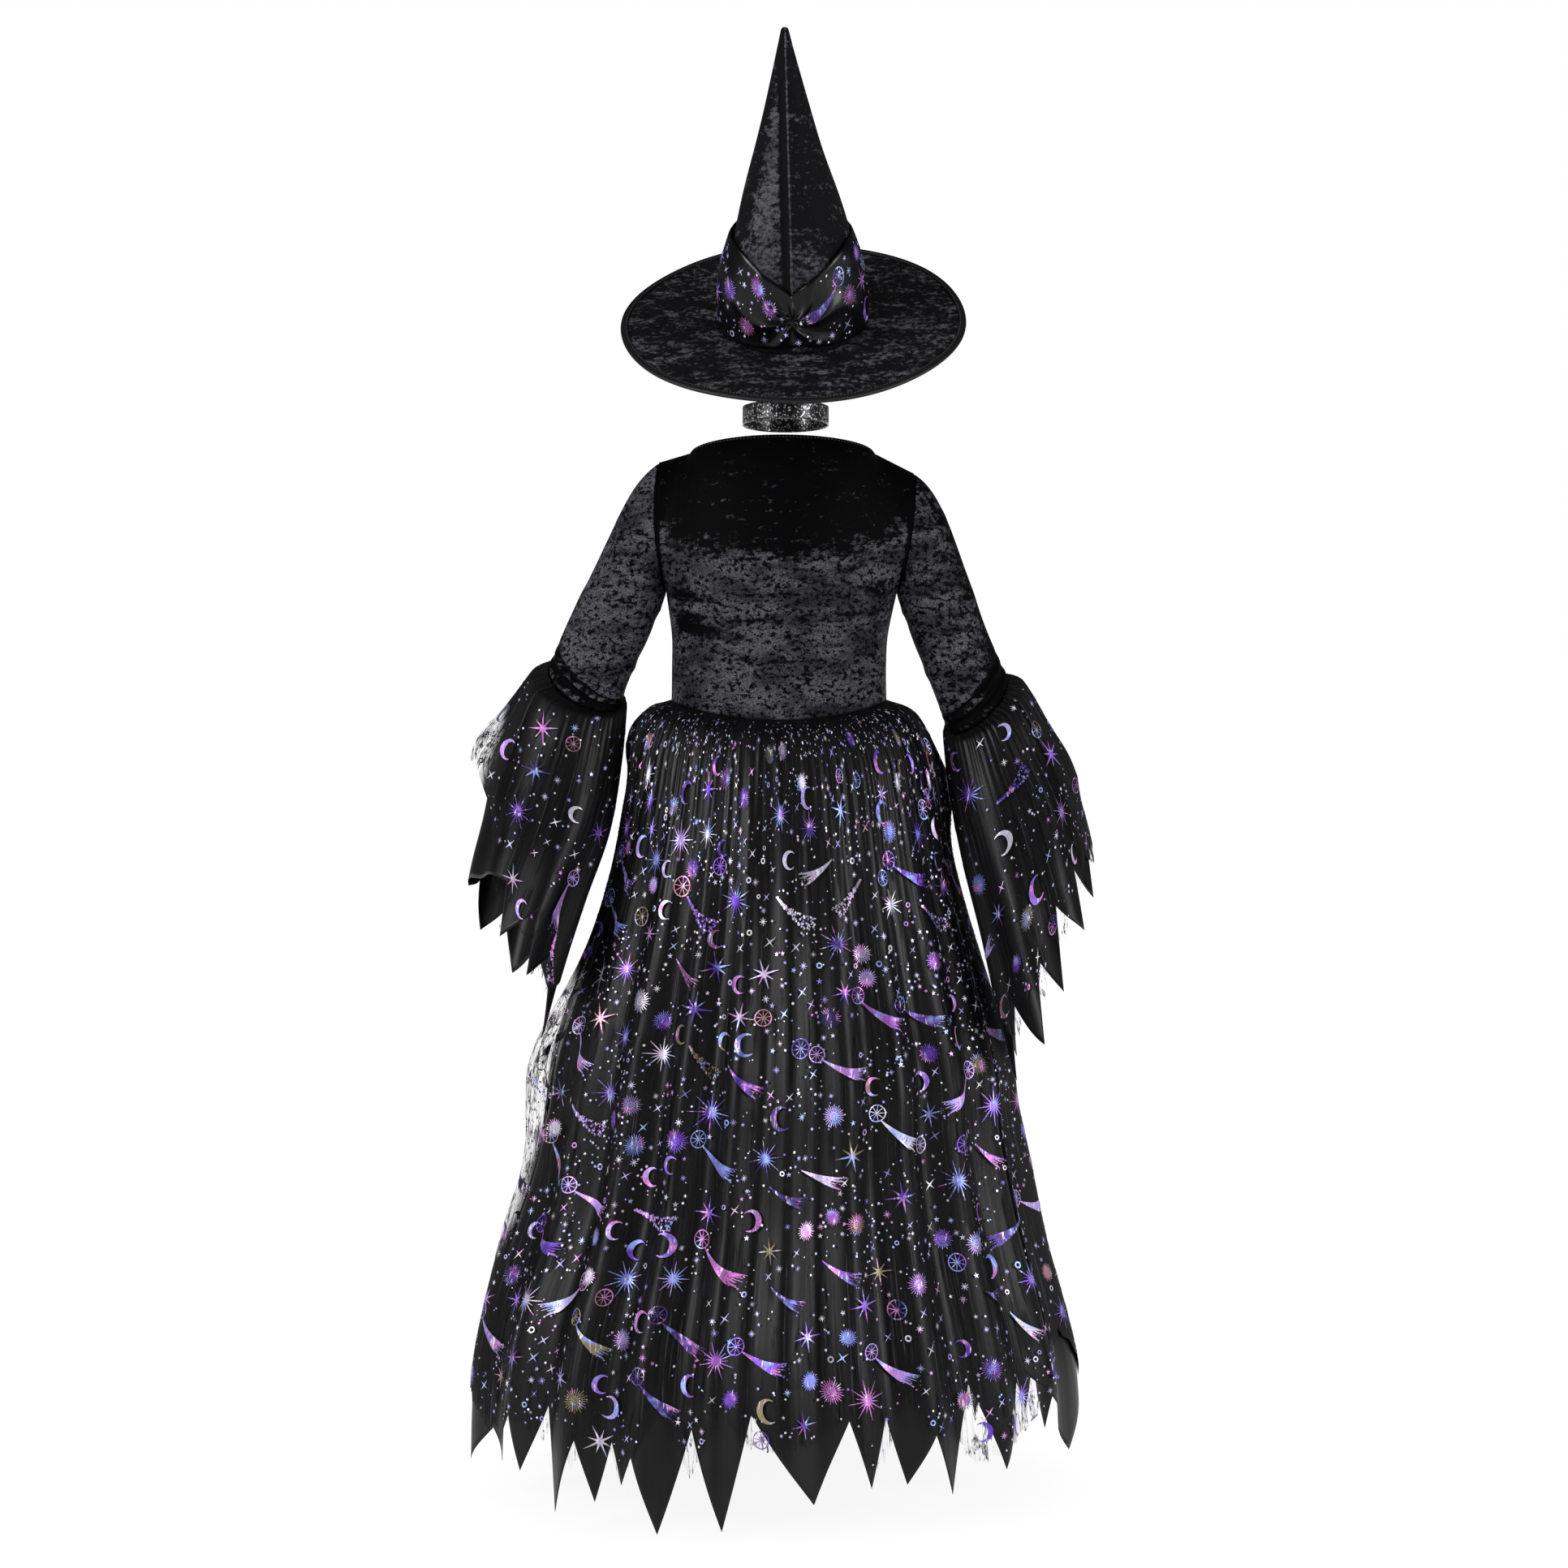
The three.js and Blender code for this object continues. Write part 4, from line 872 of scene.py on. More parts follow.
def flounce(name, is_net, material, thickness):
    """Level rings down to half way, then rings that share out what is left down to the jagged edge."""
    hem = CUFF_HEMS[name]
    end = (hem[0][0] + 360, *hem[0][1:])
    degrees, satin_edge, net_edge, fray = hem_line(hem, end, CUFF_ROWS["columns_each"])
    edge = net_edge + FRAY_MM / CUFF_CLOTH["per_place"] * fray if is_net else satin_edge
    top = np.linspace(0, CUFF_ROWS["top_place"], CUFF_ROWS["top"])
    middle = np.linspace(CUFF_ROWS["top_place"], CUFF_ROWS["level_place"], CUFF_ROWS["middle"])[1:]
    level = np.concatenate([top, middle])[:, None] + 0 * degrees
    share = np.linspace(0, 1, CUFF_ROWS["hem"])[1:, None]
    place = np.concatenate([level, CUFF_ROWS["level_place"] + (edge - CUFF_ROWS["level_place"]) * share])
    degrees = np.broadcast_to(degrees, place.shape)
    points = on_flounce(name, place, degrees, is_net)
    cloth_mm = (degrees * CUFF_CLOTH["per_degree"], place * CUFF_CLOTH["per_place"])
    if not is_net:
        return add_cloth(f"flounce_satin_{name}", points, cloth_mm, material, thickness)
    gap = np.linalg.norm(points - on_flounce(name, place, degrees), axis=-1)
    free = np.maximum(smooth(gap, *FREE_FROM.values()), smooth(place - satin_edge, -0.02, 0.02))
    dense = smooth(np.abs(np.cos(np.radians(degrees))), *CUFF_EDGE_ON.values()) * (1 - free)
    return add_cloth(f"flounce_tulle_{name}", points, cloth_mm, material, thickness, free=free, dense=dense)


flounces = {name: flounce(name, False, SATIN_CLOTH, WALL_MM["satin"]) for name in SIDE}
cuff_nets = {name: flounce(name, True, NET_CLOTH, WALL_MM["net"]) for name in SIDE}
print("flounce area in m2:", [round(area_of(p), 3) for p in (*flounces.values(), *cuff_nets.values())])

# %% [markdown]
# ## The bodice
#
# The bodice has a back and a front panel of velvet, sewn together at the sides and over the
# shoulders. Up to the underarm each panel is half an oval. Above it the panel has four edges,
# which are the underarm line, the two armhole curves and the top with the neckline, and it fills in
# between them: the two blends of opposite edges are added, less the blend of the corners. That is
# a Coons patch, and it makes the panel meet the sleeves exactly.

# %% A point of the bodice
BODICE_OUTLINE = smooth_table([  # rise, half width, back depth, front depth, shift
    (0, WAIST["half_width"], WAIST["half_depth"], WAIST["half_depth"], WAIST["shift"]),
    (0.3, 128.5, 98, 101, 4), (0.6, 129.5, 101, 108, 3), (1, 138, 107, 116, 1),
])
UNDERARM = 1082
NECKLINE = {"half_width": 109, "depth": 8, "height": 1249, "share": 0.72}
BACK = {"way": 1, "neck_out": 50, "neck_rise": 21, "curve": 1.05, "easing": -28}
FRONT = {"way": -1, "neck_out": 94, "neck_rise": -84, "curve": 1.15, "easing": -35}


def armhole_point(name, degrees):
    """The first ring of that sleeve."""
    bow = ARMHOLE_BOW[name]
    return on_sleeve(SLEEVES[name], SIDE[name], 0 * degrees, degrees, 0 * degrees, bow)


def panel_top(panel, across):
    """A shoulder seam at each end, straight from neckline to sleeve, and the curved neckline between."""
    side, u = np.where(across < 0, -1, 1), np.abs(across)
    share = ((u - NECKLINE["share"]) / (1 - NECKLINE["share"]))[..., None]
    neck = vector(side * NECKLINE["half_width"], NECKLINE["depth"], NECKLINE["height"])
    left, right = (armhole_point(name, 0 * u) for name in ("left", "right"))
    shoulder = neck + (np.where(side[..., None] > 0, left, right) - neck) * share
    angle = np.clip(u / NECKLINE["share"], 0, 1) * (np.pi / 2)
    swing = np.clip(np.cos(angle), 0, 1)
    depth = NECKLINE["depth"] + panel["way"] * panel["neck_out"] * swing
    height = NECKLINE["height"] + panel["neck_rise"] * swing ** panel["curve"]
    line = vector(side * NECKLINE["half_width"] * np.sin(angle), depth, height)
    return np.where((u > NECKLINE["share"])[..., None], shoulder, line)


def bodice_oval(panel, across, rise):
    """Half an oval from side to side, at a share of the height from waist to underarm."""
    turn = across * np.pi / 2
    half_width, back_depth, front_depth, shift = BODICE_OUTLINE(rise)
    depth = back_depth if panel["way"] > 0 else front_depth
    waist = waist_height(turn if panel["way"] > 0 else np.pi - turn)
    height = waist + (UNDERARM - waist) * rise
    return vector(shift + half_width * np.sin(turn), panel["way"] * depth * np.cos(turn), height)


CORNER_SOFTENS = 0.35


def on_bodice(panel, across, up):
    """across runs from -1 (right) to 1 (left), and up from 0 (waist) to 1 (underarm) to 2 (top). Away
    from the top its line is averaged over a growing width, so the neckline leaves no crease below."""
    low = bodice_oval(panel, across, np.minimum(up, 1))
    t = np.clip(up - 1, 0, 1)[..., None]
    soft = np.minimum(CORNER_SOFTENS * (1 - t[..., 0]), 1 - np.abs(across))
    tops = [panel_top(panel, across + soft * step) for step in (-1, -0.5, 0, 0.5, 1)]
    filled = low * (1 - t) + sum(tops) / len(tops) * t
    for name, end, share in (("right", -1, (1 - across) / 2), ("left", 1, (1 + across) / 2)):
        edge = np.full_like(across, end)
        corners = bodice_oval(panel, edge, np.ones_like(across)) * (1 - t) + panel_top(panel, edge) * t
        armhole = armhole_point(name, panel["way"] * 180 * (1 - t[..., 0]))
        filled = filled + (armhole - corners) * share[..., None]
    ease = panel["way"] * panel["easing"] * 4 * t[..., 0] * (1 - t[..., 0]) * (1 - across**4)
    filled = filled + vector(0 * ease, ease, 0 * ease)
    return np.where((up > 1)[..., None], filled, low)


# %% Bodice panels
BODICE_GRID = {"rows": 128, "columns": 168}
BODICE_SEAM = {"depth": 1.3, "half_width": 3.2}
DRAG_LINES = [  # across, half width, height in mm, up, half length: soft drag lines above the waist
    (0.05, 0.5, 1.3, 0.1, 0.035), (-0.1, 0.45, -1.2, 0.2, 0.04), (0.2, 0.4, 1.3, 0.3, 0.04),
    (-0.25, 0.35, -1.2, 0.42, 0.045), (0.3, 0.3, 1.1, 0.55, 0.05), (-0.55, 0.25, 1.2, 0.36, 0.04),
    (0.6, 0.22, -1.1, 0.72, 0.05), (-0.6, 0.22, 1.0, 0.86, 0.05), (0.8, 0.15, 1.2, 1.12, 0.06),
    (-0.8, 0.15, 1.2, 1.1, 0.06),
]
# Patches of painted shade, where the painted sheen is taken away.
PAINTED_SHADE_PATCHES = [  # across, half width, up, half length, loss: where the pile lies away from the light
    (0.72, 0.18, 1.06, 0.1, 0.75), (0.5, 0.18, 0.97, 0.07, 0.6), (0.66, 0.2, 0.76, 0.12, 0.8),
    (0.44, 0.26, 0.66, 0.09, 0.66), (0.1, 0.3, 0.8, 0.03, 0.6),
    (-0.62, 0.14, 1.1, 0.14, 0.8), (-0.5, 0.22, 0.84, 0.05, 0.7), (0.1, 0.4, 0.46, 0.03, 0.6),
    (-0.3, 0.25, 0.3, 0.03, 0.4), (0.66, 0.1, 0.35, 0.2, 0.35), (-0.66, 0.1, 0.4, 0.25, 0.4),
    (-0.1, 0.18, 1.02, 0.04, 0.4),
]
# Painted sheen stops above this height, so the upper back is painted shade.
PAINTED_SHEEN_EDGE = {"middle": 1122, "side_rise": 42, "half": 40}  # height where the grey ends, and half its border
BODICE_PAINTED_SHEEN = {"grey": 0.95, "seam_painted_shade": 1.2, "seam_half": 4.0}
BODICE_CLOTH = {"half_width": 210, "per_up": 145}


def bodice_panel(name, panel):
    """The panel's grid, drawn in by a bell at each seam, with painted shade at the top, where it gets no
    painted sheen.
    """
    across = np.linspace(-1, 1, BODICE_GRID["columns"] + 1)
    across = np.sort(np.append(across, [-NECKLINE["share"], NECKLINE["share"]]))
    up, across = np.meshgrid(np.linspace(0, 2, BODICE_GRID["rows"]), across, indexing="ij")
    points = on_bodice(panel, across, up)
    normals, _ = outward_normals(points)
    from_side = np.linalg.norm(points - points[:, :1], axis=-1)
    from_other = np.linalg.norm(points - points[:, -1:], axis=-1)
    out = -BODICE_SEAM["depth"] * bell(np.minimum(from_side, from_other), 0, BODICE_SEAM["half_width"])
    for middle, half_width, height, at, reach in DRAG_LINES:
        out = out + height * bell(across, middle, half_width) * bell(up, at + 0.05 * (across - middle), reach)
    held = smooth(up, 0, 0.06) * (1 - smooth(up, 1.94, 2.0)) * smooth(1 - np.abs(across), 0, 0.03)
    points = points + normals * (out * held)[..., None]
    # Painted sheen below the edge height, painted shade in patches and along the seams, and a painted
    # highlight on the crests of the drag lines.
    edge = PAINTED_SHEEN_EDGE["middle"] + PAINTED_SHEEN_EDGE["side_rise"] * np.abs(across) ** 2
    nap = BODICE_PAINTED_SHEEN["grey"] * smooth(edge - points[..., 2], -PAINTED_SHEEN_EDGE["half"], PAINTED_SHEEN_EDGE["half"])
    for middle, half_width, at, reach, loss in PAINTED_SHADE_PATCHES:
        nap = nap - loss * bell(across, middle, half_width) * bell(up, at, reach)
    at_seam = bell(np.minimum(from_side, from_other), 0, BODICE_PAINTED_SHEEN["seam_half"])
    nap = nap - BODICE_PAINTED_SHEEN["seam_painted_shade"] * at_seam + PAINTED_SHEEN_PER_CREASE_MM * out
    cloth_mm = (across * BODICE_CLOTH["half_width"], up * BODICE_CLOTH["per_up"])
    return add_cloth(name, points, cloth_mm, VELVET_CLOTH, WALL_MM["velvet"], nap=nap)


bodice_back = bodice_panel("bodice_velvet_back", BACK)
bodice_front = bodice_panel("bodice_velvet_front", FRONT)
print("bodice area in m2:", [round(area_of(p), 3) for p in (bodice_back, bodice_front)])

# %% [markdown]
# ## The hat
#
# The hat is velvet over a stiff lining: a tall cone with a seam down the back, a flat round brim
# bound with tape, and a wide printed band that is pinched at the back. It is worn tilted back. All
# its parts are turned shapes, a radius at each height carried round the axis, so each one is
# worked out in the hat's own upright frame and then tilted and moved into place.

# %% The hat's place
HAT = {"x": -13, "y": 0, "height": 1407, "tilt": 30, "lean": 1.6}


def turn_matrix(axis, degrees):
    """The rotation about X or Y by an angle, right-handed."""
    c, s = np.cos(np.radians(degrees)), np.sin(np.radians(degrees))
    about_x = [[1, 0, 0], [0, c, -s], [0, s, c]]
    about_y = [[c, 0, s], [0, 1, 0], [-s, 0, c]]
    return np.array(about_x if axis == "x" else about_y)


HAT_TURN = turn_matrix("x", -HAT["tilt"]) @ turn_matrix("y", HAT["lean"])


def as_worn(points):
    """From the upright hat to the worn one: lean, tilt back and move into place."""
    return points @ HAT_TURN.T + np.array([HAT["x"], HAT["y"], HAT["height"]])


def carried_round(radius, degrees, z):
    """A point of a turned shape. 0 degrees is the back of the hat and 90 its left side."""
    return vector(radius * np.sin(np.radians(degrees)), radius * np.cos(np.radians(degrees)), z)


# %% [markdown]
# ### The cone
#
# The cone is not a perfect cone: it is a little full above the brim and hollow below its blunt
# tip. The seam makes a narrow ridge with a shallow valley on one side, and the stiffened velvet
# buckles gently. Next to the seam one tall grey patch of painted sheen stands for pile lying towards
# the light, with a painted highlight along the ridge and painted shade in the valley.

# %% Cone
CONE_RADIUS = smooth_table([(0, 89), (60, 79.5), (124, 66), (225, 38.5), (285, 23.5), (345, 9.5), (366, 5)])
CONE = {"tip": 371, "shoulder": 366, "seam_height": 1.6, "seam_half_width": 5, "thickness": 1.6}
CONE_GRID = {"rows": 118, "columns": 220, "crowding": 1.6}
CONE_TIP_ROWS = [368.5, 370.2, CONE["tip"]]
CRISP_SEAM = {"height": 1.3, "half_width": 1.3, "valley": -2.0, "valley_at": 7, "valley_half": 4}
CONE_PAINTED_SHEEN = {"all": 0.1, "patch": 0.72, "foot": 0.5, "front": 0.4, "valley_painted_shade": 1.2, "ridge": 1.1}
CONE_BUCKLES = [  # degrees, half width, height in mm, height up the cone, half length
    (14, 16, -1.6, 70, 46), (-16, 14, -1.8, 95, 60), (34, 18, 1.2, 150, 70), (-40, 20, 1.3, 60, 50),
    (8, 14, 1.1, 205, 40), (-10, 16, -1.0, 260, 40), (100, 30, -1.6, 120, 60), (-110, 30, 1.6, 150, 70),
    (180, 40, -1.6, 90, 60), (150, 25, 1.2, 220, 50), (-60, 20, -1.2, 230, 50), (60, 20, 1.2, 250, 40),
]


def cone():
    """Radius by height, plus the ridge, the valley beside it and the buckles, closed by a round tip.
    Columns crowd towards the seam: their angle is 180 times the share of the way to the power 1.6."""
    z = np.append(np.linspace(0, CONE["shoulder"], CONE_GRID["rows"]), CONE_TIP_ROWS)
    way = np.linspace(-1, 1, CONE_GRID["columns"] + 1)
    degrees = 180 * np.sign(way) * np.abs(way) ** CONE_GRID["crowding"]
    z, degrees = np.meshgrid(z, degrees, indexing="ij")
    tip_share = np.clip((z - CONE["shoulder"]) / (CONE["tip"] - CONE["shoulder"]), 0, 1)
    radius = CONE_RADIUS(z)[0] * np.sqrt(1 - tip_share**2)
    out = CONE["seam_height"] * bell(degrees, 0, CONE["seam_half_width"])
    arc_mm = np.radians(degrees) * radius
    out = out + CRISP_SEAM["height"] * bell(arc_mm, 0, CRISP_SEAM["half_width"])
    out = out + CRISP_SEAM["valley"] * bell(arc_mm, CRISP_SEAM["valley_at"], CRISP_SEAM["valley_half"])
    out = out + 0.7 * np.sin(np.radians(degrees * 5) + z / 31) * bell(z, 150, 120)
    for middle, half_width, height, at, reach in CONE_BUCKLES:
        out = out + height * bell(turn_between(degrees, middle), 0, half_width) * bell(z, at, reach)
    out = out * smooth(radius, 0, 26)
    points = as_worn(carried_round(radius + out, degrees, z))
    # Painted sheen: a tall patch beside the seam, a patch at the foot and more round the front, with painted
    # shade in the valley and a painted highlight on the ridge.
    patch = bell(degrees, 28, 19) * smooth(z, 20, 110) * (1 - smooth(z, 265, 335))
    foot = bell(z, 95, 32) * bell(degrees, -16, 22)
    nap = CONE_PAINTED_SHEEN["all"] + CONE_PAINTED_SHEEN["patch"] * patch + CONE_PAINTED_SHEEN["foot"] * foot
    nap = nap + CONE_PAINTED_SHEEN["front"] * bell(turn_between(degrees, 180), 0, 70)
    nap = nap - CONE_PAINTED_SHEEN["valley_painted_shade"] * bell(arc_mm, 6, 3.6)
    nap = nap + CONE_PAINTED_SHEEN["ridge"] * bell(arc_mm, -0.4, 1.0) * smooth(z, 0, 60)
    return add_cloth("hat_cone_velvet", points, (degrees * 1.5, z), HAT_VELVET, CONE["thickness"], nap=nap)


hat_cone = cone()

# %% [markdown]
# ### The brim and its tape
#
# The brim is two rings of velvet over stiffening, so it is a closed form with two flat faces that
# sag and wave by a few millimetres. Its profile is a closed line carried round the axis. The tape
# is folded over the edge, 9 mm wide on each face.

# %% Brim and tape
BRIM = {"inside": 86, "outside": 205, "top": -0.3, "thickness": 3}
BRIM_WAVES = [(2, 1.6, 40), (5, 1.1, 0)]  # crests, height in mm, degrees where it starts
TAPE = {"width": 9, "thickness": 1, "gap": 0.2}


def brim_wave(degrees, radius):
    """Two slow sine waves round the brim, of 2 and 5 crests, that grow towards its edge."""
    waves = [height * np.sin(np.radians(count * degrees + start)) for count, height, start in BRIM_WAVES]
    return smooth(radius, BRIM["inside"], BRIM["outside"]) * sum(waves)


def carried_profile(name, profile, columns, material, **point_values):
    """A closed profile of radius and height, one row each, carried round the hat's axis."""
    profile = np.array([*profile, profile[0]], float)
    degrees = np.linspace(-180, 180, columns + 1)
    radius, degrees = np.meshgrid(profile[:, 0], degrees, indexing="ij")
    z = profile[:, 1:] + brim_wave(degrees, radius)
    along = np.append(0, np.cumsum(np.linalg.norm(np.diff(profile, axis=0), axis=1)))
    points = as_worn(carried_round(radius, degrees, z))
    cloth_mm = (np.radians(degrees) * BRIM["outside"], along[:, None] + 0 * degrees)
    return add_cloth(name, points, cloth_mm, material, 0, **point_values)


def brim_profile():
    """Top and bottom faces with their rims rounded by half circles."""
    half, middle = BRIM["thickness"] / 2, BRIM["top"] - BRIM["thickness"] / 2
    across = np.linspace(BRIM["inside"] + half, BRIM["outside"] - half, 26)
    bend = np.radians(np.linspace(-90, 90, 7))[1:-1]
    outer = np.stack([across[-1] + half * np.cos(bend), middle + half * np.sin(bend)], -1)
    inner = np.stack([across[0] - half * np.cos(bend), middle - half * np.sin(bend)], -1)
    low = np.stack([across, across * 0 + middle - half], -1)
    high = np.stack([across[::-1], across * 0 + middle + half], -1)
    return np.concatenate([low, outer, high, inner])


def tape_profile():
    """A narrow wall folded over the brim's edge, rounded at its fold."""
    middle = BRIM["top"] - BRIM["thickness"] / 2
    gap, wall = TAPE["gap"], TAPE["thickness"]
    reach = BRIM["thickness"] / 2 + gap
    fold = BRIM["outside"] - BRIM["thickness"] / 2
    start = BRIM["outside"] + gap + wall - TAPE["width"]
    bend = np.radians(np.linspace(-90, 90, 9))
    outside = np.stack([fold + (reach + wall) * np.cos(bend), middle + (reach + wall) * np.sin(bend)], -1)
    inside = np.stack([fold + reach * np.cos(bend), middle + reach * np.sin(bend)], -1)[::-1]
    low, high = middle - reach, middle + reach
    return np.concatenate([
        [(start, low - wall * 0.3), (start + 1, low - wall)], outside,
        [(start + 1, high + wall), (start, high + wall * 0.3)], inside,
    ])


# The brim gets an even painted sheen of 0.3.
hat_brim = carried_profile("hat_brim_velvet", brim_profile(), 220, HAT_VELVET, nap=0.3)
hat_tape = carried_profile("hat_brim_binding", tape_profile(), 220, EDGE_TAPE)

# %% [markdown]
# ### The band
#
# A wide strip of printed satin goes round the cone. At the back it is pinched to half its width
# with a few stitches, so creases fan out from the pinch and the cloth rolls at both edges. The
# creases are waves of the angle round the pinch, which fade with the distance from it.

# %% Band
BAND = {"reach": 75, "room": 2.4, "low": 2, "pinched_low": 11, "high": 117, "pinched_high": 73}
BAND_FOLDS = {"fullness": 4.4, "slack": 2.2, "pinch_to": 0.3, "fan": 7, "fan_height": 5.6, "fan_fade": 70}
FAN_STARTS = {"left": 0.6, "right": 2.4}  # radians, so that the two sides of the pinch differ
FAN_BENDS = {"by": 0.35, "over": 24}  # radians, and mm from the pinch
BAND_GRID = {"rows": 76, "columns": 380}
BAND_CLOTH = {"per_degree": 1.5, "height": 110}
BAND_ROLL = {"depth": 1.4, "share": 0.02}


def on_band(degrees, up, above=0.0):
    """The cone's radius at that height, plus room, a swell between the edges that closes to nothing
    at the pinch, and a fan of creases: (1 + sine of 7 times the angle round the pinch), squared,
    which fades with the distance from it."""
    away = np.minimum(np.abs(turn_between(degrees, 0)), BAND["reach"]) / BAND["reach"]
    opened = np.sin(away * np.pi / 2)
    low = BAND["pinched_low"] + (BAND["low"] - BAND["pinched_low"]) * opened
    high = BAND["pinched_high"] + (BAND["high"] - BAND["pinched_high"]) * opened
    z = low + (high - low) * up
    swell = BAND_FOLDS["fullness"] * np.sin(np.pi * up) + BAND_FOLDS["slack"] * opened * up
    swell = swell * smooth(away, 0, BAND_FOLDS["pinch_to"])
    arc = np.radians(turn_between(degrees, 0)) * CONE_RADIUS(z)[0]
    rise = z - (BAND["pinched_low"] + BAND["pinched_high"]) / 2
    far = np.hypot(arc, rise)
    turn = np.arctan2(rise, np.abs(arc))
    side = np.where(arc > 0, *FAN_STARTS.values())
    bent = turn + FAN_BENDS["by"] * np.sin(far / FAN_BENDS["over"] + side)
    fan = (1 + np.sin(BAND_FOLDS["fan"] * bent + side)) ** 2 / 2
    fan = fan * np.exp(-far / BAND_FOLDS["fan_fade"]) * smooth(far, 0, 9)
    ridge = CONE["seam_height"] * bell(degrees, 0, 2 * CONE["seam_half_width"])
    radius = CONE_RADIUS(z)[0] + BAND["room"] + ridge + swell + BAND_FOLDS["fan_height"] * fan * 0.5 + above
    return carried_round(radius, degrees, z)


def band():
    """The band's grid, with its first and last rows rolled in to make soft edges."""
    up, degrees = np.meshgrid(
        np.linspace(0, 1, BAND_GRID["rows"]), np.linspace(-180, 180, BAND_GRID["columns"] + 1), indexing="ij"
    )
    rolled = -BAND_ROLL["depth"] * (bell(up, 0, BAND_ROLL["share"]) + bell(up, 1, BAND_ROLL["share"]))
    points = as_worn(on_band(degrees, up, rolled))
    cloth_mm = (degrees * BAND_CLOTH["per_degree"], up * BAND_CLOTH["height"])
    return add_cloth("hat_band_satin", points, cloth_mm, BAND_SATIN, WALL_MM["band"])


hat_band = band()
print("hat area in m2:", [round(area_of(p), 3) for p in (hat_cone, hat_brim, hat_tape, hat_band)])

# %% [markdown]
# ## The choker
#
# The choker is a single strip of glitter ribbon whose ends lap over each other at the back. It
# follows an oval, and the lap rises by a little more than the ribbon's own thickness.

# %% Choker
CHOKER = {
    "x": -4, "y": -5, "height": 1293, "tilt": 7, "half_width": 51.5, "half_depth": 56,
    "width": 22, "thickness": 1.2, "lap": 26, "lap_room": 1.8, "lap_from": 2.4, "lap_to": 0.7,
}


def choker():
    """An oval at each of 9 heights, out by the lap's room over the last part of its turn."""
    lap = CHOKER["lap"]
    turn = np.linspace(-lap / 2, 360 + lap / 2, 200)
    edge, degrees = np.meshgrid(np.linspace(1, -1, 9), turn, indexing="ij")
    out = CHOKER["lap_room"] * smooth(degrees, 360 - CHOKER["lap_from"] * lap, 360 - CHOKER["lap_to"] * lap)
    angle = np.radians(degrees)
    half = CHOKER["width"] / 2
    x, y = (CHOKER["half_width"] + out) * np.sin(angle), (CHOKER["half_depth"] + out) * np.cos(angle)
    middle = np.array([CHOKER["x"], CHOKER["y"], CHOKER["height"]])
    points = vector(x, y, edge * half) @ turn_matrix("x", CHOKER["tilt"]).T + middle
    return add_cloth("choker_ribbon", points, (degrees, edge * half), GLITTER_RIBBON, CHOKER["thickness"])


choker_ribbon = choker()

# %% [markdown]
# ## The foil print
#
# The net carries stars, moons, discs and comets in foil. They could be an image, but real thin
# shapes stay crisp at any distance and go with the exported mesh. Each motif is a small flat
# template made of two kinds of shape: a ribbon along a line, and a fan round a centre. A template
# is in units of the motif's half size, with x to the right and y up.

# %% Shapes that motifs are made of
def ribbon(line, half_width):
    """A strip of quads along a line of points, cut into triangles: each point moved both ways,
    square to the line, by its half width."""
    line, half_width = np.asarray(line, float), np.broadcast_to(half_width, len(line))
    along = unit(np.gradient(line, axis=0))
    square = np.stack([-along[:, 1], along[:, 0]], -1) * half_width[:, None]
    points = np.concatenate([line - square, line + square])
    a = np.arange(len(line) - 1)
    b = a + len(line)
    faces = np.concatenate([np.stack([a, a + 1, b + 1], -1), np.stack([a, b + 1, b], -1)])
    return points, faces


def fan(corners, radius):
    """A regular polygon as triangles round its centre."""
    angle = np.arange(corners) * 2 * np.pi / corners
    points = np.concatenate([[(0, 0)], np.stack([np.cos(angle), np.sin(angle)], -1) * radius])
    a = np.arange(corners)
    return points, np.stack([0 * a, a + 1, (a + 1) % corners + 1], -1)


def together(parts, at=(0, 0), size=1.0, turn=0.0):
    """Puts shapes into one template, moved, scaled and turned."""
    points, faces, count = [], [], 0
    c, s = np.cos(np.radians(turn)), np.sin(np.radians(turn))
    for part_points, part_faces in parts:
        points.append(part_points @ np.array([[c, s], [-s, c]]) * size + np.array(at))
        faces.append(part_faces + count)
        count += len(part_points)
    return np.concatenate(points), np.concatenate(faces)


def rays(count, start, lengths, width, tip=0.12, stations=4):
    """Straight rays from a start radius to each of the lengths in turn, narrowing to their tips."""
    share = np.linspace(0, 1, stations)
    parts = []
    for k in range(count):
        angle = 2 * np.pi * (k + 0.25) / count
        far = start + (lengths[k % len(lengths)] - start) * share
        line = far[:, None] * np.array([[np.cos(angle), np.sin(angle)]])
        parts.append(ribbon(line, width * (1 - (1 - tip) * share)))
    return parts


def arc(from_degrees, to_degrees, radius, half_width, stations):
    """A ribbon along part of a circle."""
    angle = np.radians(np.linspace(from_degrees, to_degrees, stations))
    line = np.stack([np.cos(angle), np.sin(angle)], -1) * np.asarray(radius)[..., None]
    return ribbon(line, half_width)


# %% [markdown]
# ### Motifs
#
# These are the plain signs of any night sky: starbursts, four-pointed sparkles, small stars,
# crescents, sun discs, wheels, rings, dots and comets. A comet's tail is brushed, like a stroke of
# paint that breaks up, or speckled, as where the foil came off the net. Their proportions were
# chosen one by one.

# %% Motif templates
def crescent():
    """An arc of 250 degrees whose half width is a squared cosine, so both horns end in a point."""
    share = np.linspace(-1, 1, 15)
    half_width = 0.03 + 0.25 * np.cos(share * np.pi / 2) ** 1.3
    return together([arc(-125, 125, 1 - half_width, half_width, 15)], turn=180)


def wheel():
    """A thin rim, spokes and a hub."""
    rim = arc(0, 360, 0.93 + 0 * np.arange(19), 0.06, 19)
    return [rim, *rays(9, 0.22, [0.84], 0.05, 0.6, 3), fan(8, 0.2)]


TAIL_SLANT = np.array([0.5, 0.86])


